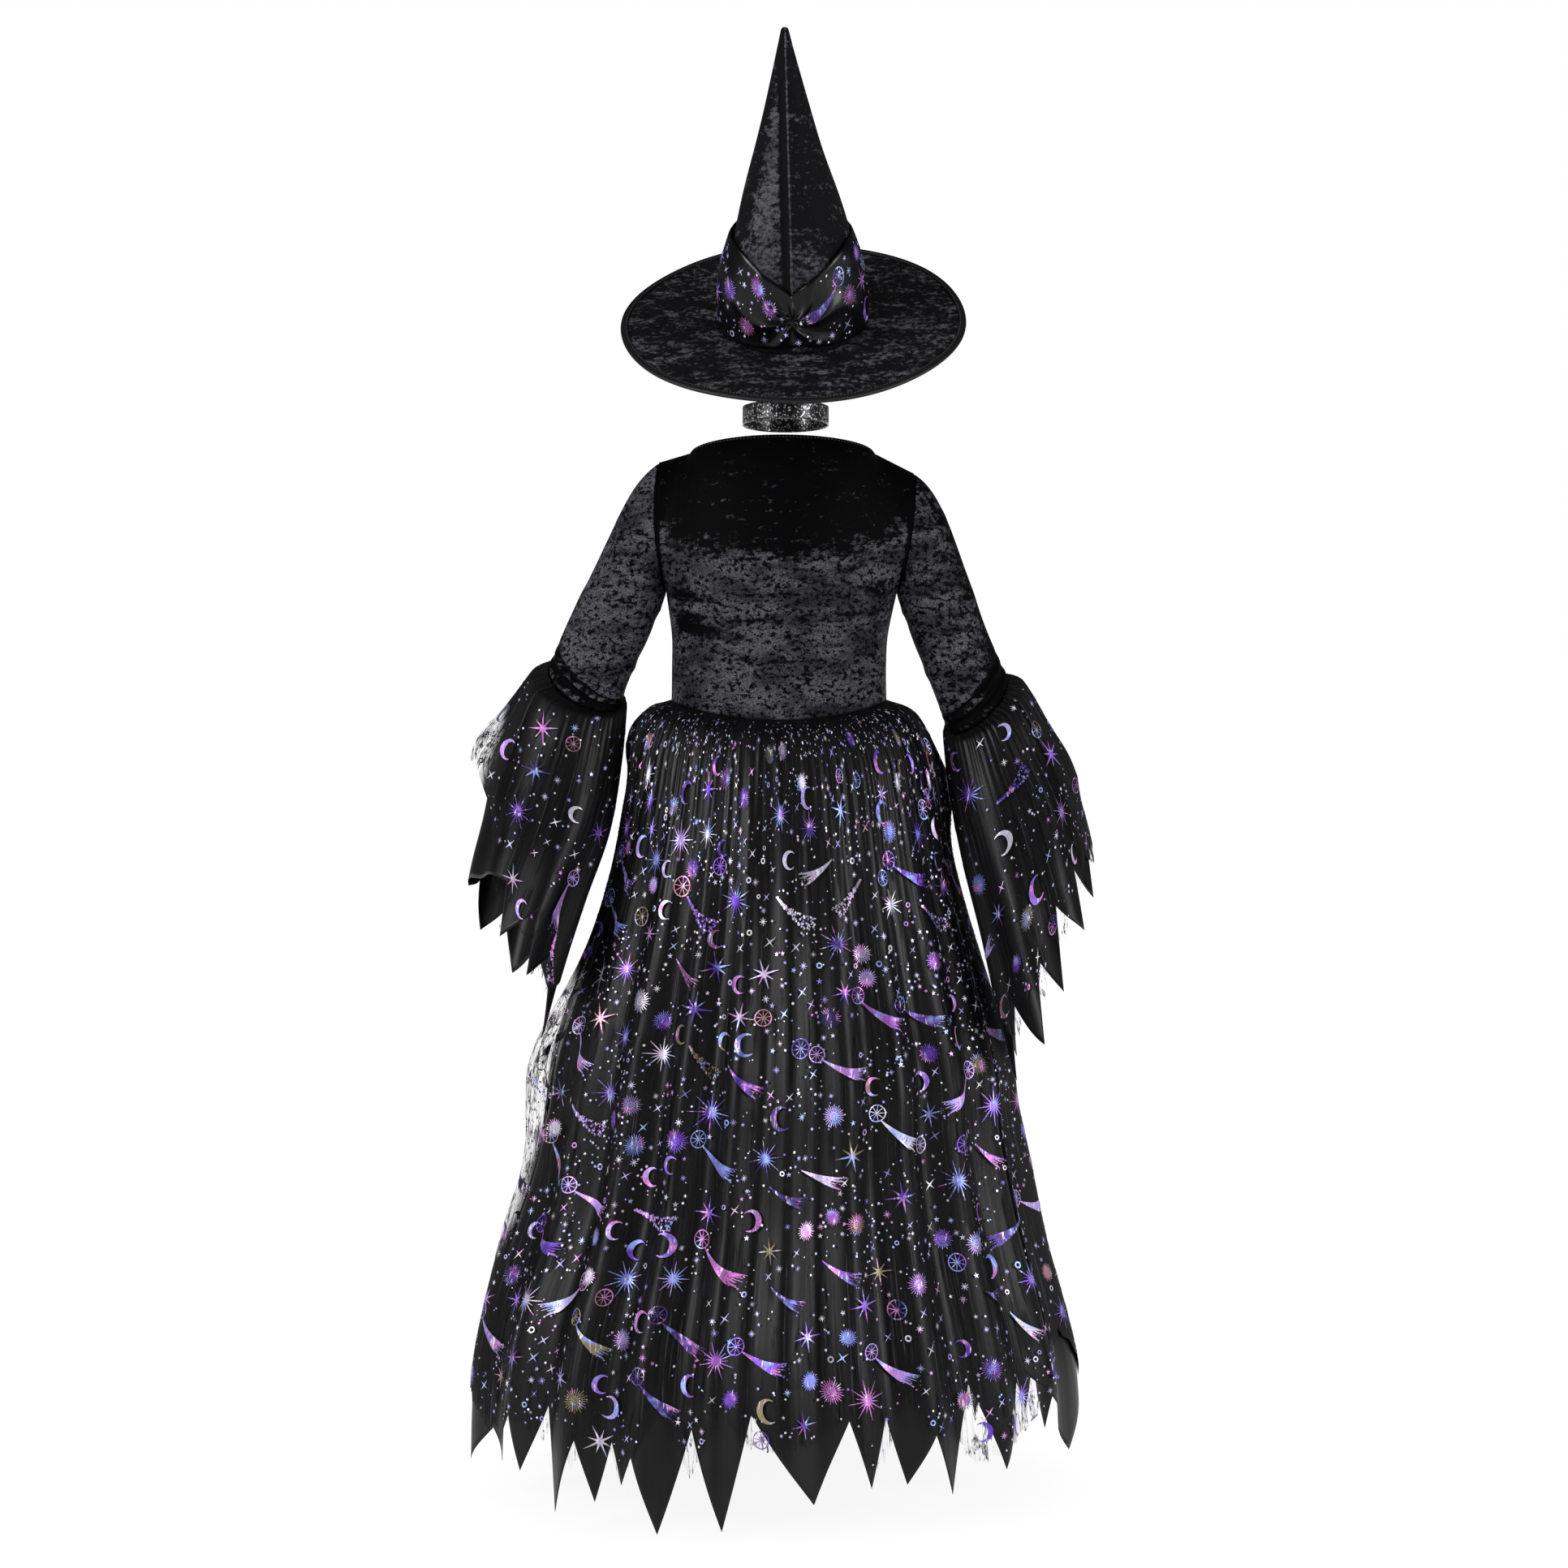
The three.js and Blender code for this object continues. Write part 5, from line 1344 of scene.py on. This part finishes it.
def tail_middle(share):
    """A curve down to the right that flattens: x grows by 1.55 and y falls by 1.3 less 0.5 squared."""
    return np.stack([-0.64 + 1.55 * share, 0.46 - 1.3 * share + 0.5 * share**2], -1)


def tail_spread(share):
    """Half the tail's width: it starts as a thin link and widens evenly."""
    return 0.018 + 0.27 * np.asarray(share) ** 1.15


def chips(random, count, near, far, widest, half_width):
    """Very short strokes strewn over part of the tail, fewer towards its end."""
    parts = []
    for share in near + (far - near) * random.uniform(0, 1, count) ** 1.4:
        at = tail_middle(share) + TAIL_SLANT * random.uniform(-widest, widest) * tail_spread(share)
        step = np.array([0.045, -0.02]) * random.uniform(0.4, 1.0)
        parts.append(ribbon([at, at + step], half_width * random.uniform(0.7, 1.5)))
    return parts


def brushed_tail(seed):
    """A solid horn along the curve, then thin brush strokes of uneven length that run on past its
    end, and between them chips of foil, each a very short stroke."""
    random = np.random.default_rng(seed)
    share = np.linspace(0, 0.6, 9)
    parts = [ribbon(tail_middle(share), tail_spread(share))]
    for across in np.linspace(-0.95, 0.95, 15):
        share = np.linspace(0.56, 0.64 + random.uniform(0.02, 0.34), 3)
        line = tail_middle(share) + TAIL_SLANT * (across * tail_spread(share))[:, None]
        parts.append(ribbon(line, 0.014 * np.array([1.1, 1.0, 0.4])))
    return parts + chips(random, 16, 0.62, 1.0, 1.15, 0.012)


def comet(seed):
    """A wheel at the upper left with a brushed tail."""
    return together([together(wheel(), at=(-0.8, 0.66), size=0.28), *brushed_tail(seed)])


def speckled_comet(seed):
    """A comet whose whole tail is chips, as where the foil broke up on the net."""
    random = np.random.default_rng(seed)
    return together([fan(9, 0.05), *chips(random, 150, 0.03, 1.0, 1.0, 0.026)])


MOTIFS = {
    "starburst": together([*rays(16, 0.12, [1.0, 0.6], 0.045), fan(10, 0.15)]),
    "north_star": together([*rays(8, 0.1, [1.0, 0.72], 0.075, 0.05), fan(8, 0.14)]),
    "sparkle": together([*rays(4, 0.06, [1.0, 0.72], 0.1, 0.04), fan(4, 0.11)], turn=22.5),
    "asterisk": together([*rays(8, 0.12, [0.95, 0.8], 0.08, 0.3, 3), fan(8, 0.17)]),
    "star": together([*rays(5, 0.28, [1.0], 0.22, 0.06, 3), fan(5, 0.42)]),
    "crescent": crescent(),
    "sun": together([
        *rays(26, 0.5, [1.0, 0.86], 0.045, 0.5, 3), *rays(13, 0.18, [0.47], 0.07, 1.0, 2), fan(10, 0.16),
    ]),
    "disc": together([*rays(22, 0.66, [1.0, 0.9], 0.06, 0.3, 2), fan(22, 0.64)]),
    "wheel": together(wheel()),
    "comet": comet(3),
    "speckled": speckled_comet(4),
    "tail": together(brushed_tail(5)),
    "ring": together([arc(0, 360, 0.75 + 0 * np.arange(13), 0.22, 13)]),
    "dot": together([fan(6, 1.0)]),
}
print("triangles of each motif:", {name: len(faces) for name, (_, faces) in MOTIFS.items()})

# %% [markdown]
# ### Laying out the print
#
# The motifs are scattered by throwing darts: each new one gets a random place, and is kept only if
# it clears all that are there already. Distances are measured between points of the real surface,
# so the spacing is right on any piece. Dots come last, in loose clusters.

# %% Scatter
PRINT_MIX = {  # share of all motifs, smallest and largest half size in mm
    "comet": (0.016, 34, 42), "speckled": (0.007, 30, 38), "tail": (0.008, 26, 34),
    "starburst": (0.035, 19, 25), "north_star": (0.035, 16, 22), "sun": (0.04, 12, 15),
    "disc": (0.02, 10, 13), "wheel": (0.025, 9, 13), "crescent": (0.07, 10, 15),
    "sparkle": (0.17, 6, 9.5), "asterisk": (0.23, 3.4, 5.6), "star": (0.26, 2.2, 3.8),
    "ring": (0.07, 2.8, 4.4),
}
TINTS = [
    "#b9a0e8", "#6238b4", "#c070c0", "#7648c8", "#ece4fa", "#7f8ae0", "#c08a98", "#9a6ce0", "#8452d0",
    "#c898f0", "#4c3088", "#a05cc0", "#8a7c60", "#dcc8f4",
]
SMALL_TINTS = ["#f4f0ff", "#dcd4f8", "#c4b4f0", "#b4c4f4", "#f0d4f0", "#ffffff", "#9c8cdc", "#e8e4ff"]
LONG_KINDS = ("comet", "speckled", "tail")
LOPSIDED = (*LONG_KINDS, "crescent")
SMALL_KINDS = ("sparkle", "asterisk", "star", "ring", "dot")
DOT_CLUSTER = {"dots": 10, "spread": 24, "small": 0.7, "large": 1.7}
REACH = {"long": 0.72, "round": 0.95}  # how much of its half size a motif fills, on average


def scatter(surface, u_range, v_range, tries, seed, fits, squeeze=None, gap=1.3):
    """Throws motifs onto a surface of two parameters, large kinds first. fits says whether a place
    with its half size stays on the cloth, and gathered cloth holds them closer by its squeeze.
    Returns rows of kind, u, v, half size."""
    random = np.random.default_rng(seed)
    kinds = list(PRINT_MIX)
    counts = [int(tries * PRINT_MIX[kind][0]) for kind in kinds]
    rows, places, sizes = [], np.zeros((0, 3)), np.zeros(0)
    for kind, count in zip(kinds, counts):
        _, small, large = PRINT_MIX[kind]
        u, v = random.uniform(*u_range, count), random.uniform(*v_range, count)
        size = random.uniform(small, large, count)
        at = surface(u, v)
        closer = squeeze(v) if squeeze else np.ones(count)
        for k in np.flatnonzero(fits(u, v, size)):
            reach = size[k] * closer[k] * REACH["long" if kind in LONG_KINDS else "round"]
            if np.all(np.linalg.norm(places - at[k], axis=1) > sizes + reach + gap):
                rows.append((kind, u[k], v[k], size[k]))
                places, sizes = np.vstack([places, at[k]]), np.append(sizes, reach)
    return rows, places, sizes


def scatter_dots(surface, u_range, v_range, clusters, seed, fits, places, sizes, mm_per_u, mm_per_v):
    """Loose clusters of dots, each a normal spread round its middle, clear of the larger motifs."""
    random = np.random.default_rng(seed)
    dots, spread = DOT_CLUSTER["dots"], DOT_CLUSTER["spread"]
    count = clusters * dots
    u = np.repeat(random.uniform(*u_range, clusters), dots) + random.normal(0, spread / mm_per_u, count)
    v = np.repeat(random.uniform(*v_range, clusters), dots) + random.normal(0, spread / mm_per_v, count)
    size = random.uniform(DOT_CLUSTER["small"], DOT_CLUSTER["large"], count)
    inside = (u > u_range[0]) & (u < u_range[1]) & (v > v_range[0]) & (v < v_range[1]) & fits(u, v, size)
    u, v, size = u[inside], v[inside], size[inside]
    apart = np.linalg.norm(surface(u, v)[:, None] - places[None], axis=-1) > sizes * 0.9 + size[:, None]
    clear = apart.all(1)
    return [("dot", *row) for row in zip(u[clear], v[clear], size[clear])]


# %% [markdown]
# ### Printing on a surface
#
# A motif's own x and y become steps along the two parameters of the surface. How many millimetres
# one step is worth is measured there, over a stretch about as long as a large motif. All motifs of
# a kind are placed as one array. The film lies half a millimetre outside the cloth.

# %% Print
FILM_LIFT = 0.5  # mm
MEASURE = 6.0  # mm to each side of a motif's middle
MOTIF_TURN = 9  # degrees, the usual tilt of a motif either way
MIRRORED = 0.2  # share of the lopsided motifs that face the other way
FAINTEST = 0.35  # the foil took unevenly, so each motif keeps from this much to all of its tint
PAINTED_SHADE_WHEN_FREE = 0.94  # share of the tint lost against the light


def print_on(name, surface, rows, seed, rightwards, mm_per, squeeze=None, free=None, comet_turn=0.0):
    """surface(u, v) gives points. A template point (x, y) goes to u + x * size / mm per u, and to
    v - y * size / mm per v. rightwards is -1 where u grows to the left seen from outside. free says
    how far each place hangs clear of the cloth behind, and there the tint is darkened as painted
    shade, for film seen against the light."""
    random = np.random.default_rng(seed)
    all_points, all_faces, all_tints, count = [], [], [], 0
    for kind in MOTIFS:
        chosen = np.array([row[1:] for row in rows if row[0] == kind])
        if not len(chosen):
            continue
        u, v, size = chosen.T
        template, faces = MOTIFS[kind]
        turn = np.radians(random.normal(0, MOTIF_TURN, len(u)) + (comet_turn if kind in LONG_KINDS else 0))
        mirror = np.ones(len(u))
        if kind in LOPSIDED:
            mirror = random.choice([1, -1], len(u), p=[1 - MIRRORED, MIRRORED])
        c, s = np.cos(turn)[:, None], np.sin(turn)[:, None]
        x, y = template[:, 0] * mirror[:, None], template[:, 1]
        right, up = (x * c - y * s) * size[:, None], (x * s + y * c) * size[:, None]
        step_u, step_v = MEASURE / mm_per[0], MEASURE / mm_per[1]
        mm_u = np.linalg.norm(surface(u + step_u, v) - surface(u - step_u, v), axis=-1) / (2 * step_u)
        mm_v = np.linalg.norm(surface(u, v + step_v) - surface(u, v - step_v), axis=-1) / (2 * step_v)
        narrow = squeeze(v)[:, None] if squeeze else 1.0
        at_u = u[:, None] + rightwards * right * narrow / mm_u[:, None]
        at_v = v[:, None] - up / mm_v[:, None]
        points = surface(at_u.ravel(), at_v.ravel())
        turned = np.where(mirror[:, None, None] < 0, faces[:, ::-1], faces)
        all_faces.append((turned + (count + np.arange(len(u)) * len(template))[:, None, None]).reshape(-1, 3))
        tints = SMALL_TINTS if kind in SMALL_KINDS else TINTS
        tint = np.array([colour(code) for code in tints])[random.integers(0, len(tints), len(u))]
        tint[:, :3] *= random.uniform(FAINTEST, 1.0, len(u))[:, None]
        # Painted shade: the tint is darkened where the net hangs free.
        if free:
            tint[:, :3] *= 1 - PAINTED_SHADE_WHEN_FREE * smooth(free(u, v), *FREE_FROM.values())[:, None]
        all_tints.append(np.repeat(tint, len(template), 0))
        all_points.append(points)
        count += len(points)
    piece = add_mesh(name, in_frame(np.concatenate(all_points)), np.concatenate(all_faces), FOIL_PRINT)
    layer = piece.data.attributes.new("tint", "FLOAT_COLOR", "POINT")
    layer.data.foreach_set("color", np.concatenate(all_tints).astype(np.float32).ravel())
    print(name, "motifs:", len(rows), "triangles:", len(piece.data.polygons))
    return piece


# %% Print on the skirt's net
SKIRT_PRINT = {"motifs": 3400, "clusters": 340, "seam_clusters": 70, "seam_low": 44}
SKIRT_STEP = (4.6, 1.0)  # mm for each degree, and for each mm of drop
SQUEEZED = {"least": 0.4, "gone_by": 320}


def skirt_squeeze(drop):
    """Gathered cloth shows each motif narrower: 0.4 of its width at the seam, all of it below 320 mm."""
    return SQUEEZED["least"] + (1 - SQUEEZED["least"]) * smooth(drop, 0, SQUEEZED["gone_by"])


def skirt_print(name, hem, end, seed):
    """Motifs over one net panel, kept off its side seams and above its own jagged edge."""
    degrees, _, net_edge, _ = hem_line(hem, end, COLUMNS_EACH["net"])
    full = waist_height(np.radians(degrees)) - net_edge

    def surface(u, v):
        return on_skirt_net(u, v, FILM_LIFT)

    def fits(u, v, size):
        side = size / 5.0  # degrees
        edge = np.minimum(np.interp(u - side, degrees, full), np.interp(u + side, degrees, full))
        below_seam = v > 2 + np.maximum(size - 6, 0) * 5
        return (v + size * 0.8 < edge) & (u - side > degrees[0]) & (u + side < degrees[-1]) & below_seam

    u_range, v_range = (degrees[0], degrees[-1]), (4, full.max())
    rows, places, sizes = scatter(surface, u_range, v_range, SKIRT_PRINT["motifs"], seed, fits, skirt_squeeze)
    by_seam = (3, SKIRT_PRINT["seam_low"])
    for amount, stretch, draw in (("clusters", v_range, 1), ("seam_clusters", by_seam, 3)):
        thrown = (u_range, stretch, SKIRT_PRINT[amount], seed + draw)
        rows += scatter_dots(surface, *thrown, fits, places, sizes, *SKIRT_STEP)
    return print_on(name, surface, rows, seed + 2, -1, SKIRT_STEP, skirt_squeeze, net_stands_off)


foil_back = skirt_print("skirt_foil_back", BACK_HEM, BACK_END, SEED + 10)
foil_front = skirt_print("skirt_foil_front", FRONT_HEM, FRONT_END, SEED + 20)


# %% Print on the flounces and on the band
CUFF_PRINT = {"motifs": 330, "clusters": 40, "gap": 3.5, "lowest": 1.2}
CUFF_STEP = (1.5, CUFF_CLOTH["per_place"])  # mm for each degree, and for each step of place
COMET_TURN = {"left": -48, "right": 48}
BAND_PRINT = {"motifs": 300, "clusters": 30, "clear_of_pinch": 16}
BAND_STEP = (1.4, 100)  # mm for each degree, and from the band's lower edge to its upper one


def cuff_print(name, seed):
    """Motifs all round the net of one flounce, above its jagged edge."""
    hem = CUFF_HEMS[name]
    degrees, _, net_edge, _ = hem_line(hem, (hem[0][0] + 360, *hem[0][1:]), CUFF_ROWS["columns_each"])

    def surface(u, v):
        return on_flounce(name, v, u, True, FILM_LIFT)

    def free(u, v):
        return np.linalg.norm(surface(u, v) - on_flounce(name, v, u), axis=-1)

    def fits(u, v, size):
        reach = size / CUFF_CLOTH["per_place"]
        return (v + reach < np.interp(u, degrees, net_edge)) & (v > reach * 0.6 + 0.02)

    u_range, v_range = (degrees[0], degrees[-1]), (0.03, CUFF_PRINT["lowest"])
    motifs, clusters = CUFF_PRINT["motifs"], CUFF_PRINT["clusters"]
    rows, places, sizes = scatter(surface, u_range, v_range, motifs, seed, fits, gap=CUFF_PRINT["gap"])
    rows += scatter_dots(surface, u_range, v_range, clusters, seed + 1, fits, places, sizes, *CUFF_STEP)
    piece_name, turn = f"flounce_foil_{name}", COMET_TURN[name]
    return print_on(piece_name, surface, rows, seed + 2, SIDE[name], CUFF_STEP, None, free, turn)


def band_print(seed):
    """Motifs round the band, kept inside its two edges."""

    def surface(u, v):
        return as_worn(on_band(u, 1 - v, FILM_LIFT))

    def fits(u, v, size):
        clear = np.abs(turn_between(u, 0)) > np.where(size > 6, BAND_PRINT["clear_of_pinch"], 4)
        return (v > size / 100 + 0.04) & (v < 0.96 - size / 100) & clear

    u_range, v_range = (-180, 180), (0.05, 0.95)
    rows, places, sizes = scatter(surface, u_range, v_range, BAND_PRINT["motifs"], seed, fits)
    clusters = BAND_PRINT["clusters"]
    rows += scatter_dots(surface, u_range, v_range, clusters, seed + 1, fits, places, sizes, *BAND_STEP)
    return print_on("hat_band_foil", surface, rows, seed + 2, -1, BAND_STEP)


cuff_foils = {name: cuff_print(name, SEED + 30 + 5 * k) for k, name in enumerate(SIDE)}
band_foil = band_print(SEED + 50)

# %% [markdown]
# ## Stitches
#
# The neckline is turned in and stitched, and so is the tape of the brim. A stitch is a short
# thread that dips into the cloth at both ends, so each one is a small spindle along the line of
# the seam. All of them are placed at once: a spindle in units of its own length and thickness,
# times the frame of three directions at each stitch.

# %% Stitches
STITCH = {"length": 2.6, "pitch": 4.2, "radius": 0.42}


def stitches(name, line, normals):
    """Spindles every 4.2 mm along a line. Ring k of a spindle has the radius of a half sine."""
    step = np.linalg.norm(np.diff(line, axis=0), axis=1)
    along = np.append(0, np.cumsum(step))
    places = np.arange(STITCH["pitch"], along[-1] - STITCH["pitch"] / 2, STITCH["pitch"])
    at = np.stack([np.interp(places, along, line[:, k]) for k in range(3)], -1)
    ahead = np.stack([np.interp(places + 0.5, along, line[:, k]) for k in range(3)], -1)
    up = unit(np.stack([np.interp(places, along, normals[:, k]) for k in range(3)], -1))
    forward = unit(ahead - at)
    side = unit(np.cross(up, forward))
    share, turn = np.meshgrid(np.linspace(0, 1, 5), np.arange(6) * np.pi / 3, indexing="ij")
    radius = STITCH["radius"] * np.sin(np.pi * np.clip(share, 0.04, 0.96))
    lengthways = (share - 0.5) * STITCH["length"]
    spindle = np.stack([lengthways, radius * np.cos(turn), radius * np.sin(turn)], -1).reshape(-1, 3)
    frames = np.stack([forward, side, up], 1)
    points = at[:, None] + spindle @ frames
    row, column = np.mgrid[:4, :6]
    following = (column + 1) % 6
    corners = [row * 6 + column, row * 6 + following, (row + 1) * 6 + following, (row + 1) * 6 + column]
    ring = np.stack(corners, -1).reshape(-1, 4)
    faces = (ring[:, ::-1] + (np.arange(len(at)) * len(spindle))[:, None, None]).reshape(-1, 4)
    print(name, "stitches:", len(at))
    return add_mesh(name, in_frame(points.reshape(-1, 3)), faces, THREAD)


def neckline_seam(panel, name):
    """A line 5 mm below the top edge of the neckline, with the cloth's own normals."""
    across = np.linspace(-NECKLINE["share"] * 0.99, NECKLINE["share"] * 0.99, 240)
    rows = np.stack([on_bodice(panel, across, np.full_like(across, up)) for up in (1.93, 1.95, 1.97)])
    normals, _ = outward_normals(rows)
    middle = rows.mean((0, 1)) * np.array([1, 0, 1])
    sign = np.sign(((rows[1] - middle) * normals[1]).sum())
    return stitches(name, rows[1] + normals[1] * sign * 0.1, normals[1] * sign)


def tape_seam():
    """A circle on the tape's upper face, 2 mm from its inner edge."""
    degrees = np.linspace(-180, 180, 400)
    radius = np.full_like(degrees, BRIM["outside"] - TAPE["width"] + 3.4)
    z = BRIM["top"] + TAPE["gap"] + TAPE["thickness"] + brim_wave(degrees, radius)
    up = HAT_TURN @ np.array([0, 0, 1])
    circle = as_worn(carried_round(radius, degrees, z))
    return stitches("brim_stitches", circle, np.tile(up, (len(degrees), 1)))


neck_stitches = {
    "back": neckline_seam(BACK, "neckline_stitches_back"),
    "front": neckline_seam(FRONT, "neckline_stitches_front"),
}
brim_stitches = tape_seam()

# %% [markdown]
# ## Joining the pieces to the frame
#
# Each row gives a piece, the CAD node that it stands for and a material slot. The node's plain
# wall is hidden. Gathered pieces are cut much wider than the ring that they end up in.

# %% Nodes and slots
STANDS_FOR = [  # piece, node, slot
    (skirt_back, "skirt_back", "satin"), (skirt_front, "skirt_front", "satin"),
    (net_back, "skirt_net_back", "net"), (net_front, "skirt_net_front", "net"),
    (sleeves["left"], "sleeve_left", "velvet"), (sleeves["right"], "sleeve_right", "velvet"),
    (flounces["left"], "flounce_left", "satin"), (flounces["right"], "flounce_right", "satin"),
    (cuff_nets["left"], "flounce_net_left", "net"), (cuff_nets["right"], "flounce_net_right", "net"),
    (bodice_back, "bodice_back", "velvet"), (bodice_front, "bodice_front", "velvet"),
    (hat_cone, "hat_cone", "velvet"), (hat_brim, "hat_brim", "velvet"), (hat_tape, "hat_brim_tape", "tape"),
    (hat_band, "hat_band", "printed_satin"), (choker_ribbon, "choker", "glitter"),
]
for piece, node, slot_name in STANDS_FOR:
    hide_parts(node)

# %% [markdown]
# ## Floor and light
#
# A plain white table lies under the hem, lit from below as such photographs are. Two large soft
# lights stand on the camera's side, far out to the left and right, so that their light runs along
# the folds. The surroundings are white.

# %% Floor and lights
FLOOR_HALF = 30.0
FLOOR_SPOTS = {"mottle": ((400, 400, 400), 2.0, 0.55)}
WHITE = "#ffffff"
REFLECTED_WORLD = 0.07
LIGHTS = [  # name, where it stands and where it looks in metres, size in metres, watts
    ("key", (3.6, 2.7, 1.3), (0, 0, -0.2), 1.8, 170),
    ("fill", (-3.8, 2.2, 0.6), (0, 0, -0.3), 1.8, 120),
]


def pale_floor():
    """White acrylic lit from below: it glows at nine tenths of white, so shadows on it stay faint."""
    material, tree, shader = new_material(
        "backlit_white_acrylic", Roughness=0.9, Emission_Strength=0.9, Emission_Color=colour(WHITE),
        Specular_IOR_Level=0.0,
    )
    (mottle,) = spots(tree, add_node(tree, "TexCoord", output="Object"), FLOOR_SPOTS)
    grey = add_node(tree, "Mix", {0: mottle, 6: colour("#5c5c5c"), 7: colour("#606060")}, 2, data_type="RGBA")
    feed(tree, shader, Base_Color=grey)
    corners = np.array([(-1, -1, 0), (1, -1, 0), (1, 1, 0), (-1, 1, 0)]) * FLOOR_HALF
    mesh = bpy.data.meshes.new("floor")
    mesh.from_pydata((corners - np.array([0, 0, SHOULDER_LINE * MM])).tolist(), [], [(0, 1, 2, 3)])
    mesh.materials.append(material)
    floor = bpy.data.objects.new("floor", mesh)
    bpy.context.scene.collection.objects.link(floor)


def soft_light(name, at, towards, size, watts):
    """A square area light that looks at a point."""
    data = bpy.data.lights.new(name, "AREA")
    data.energy = watts
    data.size = size
    light = bpy.data.objects.new(name, data)
    light.location = at
    way = unit(np.array(towards, float) - np.array(at, float))
    light.rotation_euler = (np.arccos(-way[2]), 0, np.arctan2(way[1], way[0]) - np.pi / 2)
    bpy.context.scene.collection.objects.link(light)


def studio_world():
    """White all round for the eye and for diffuse light, and next to nothing in reflections, as
    the dark half of a studio keeps black cloth black."""
    world = bpy.data.worlds.new("studio")
    bpy.context.scene.world = world
    world.use_nodes = True
    tree = world.node_tree
    glossy = add_node(tree, "LightPath", output="Is Glossy Ray")
    strength = add_node(tree, "MapRange", (glossy, 0, 1, 1.0, REFLECTED_WORLD))
    background = tree.nodes["Background"]
    background.inputs["Color"].default_value = colour(WHITE)
    feed(tree, background, Strength=strength)


pale_floor()
for light in LIGHTS:
    soft_light(*light)
studio_world()
bpy.context.scene.view_settings.view_transform = "Standard"
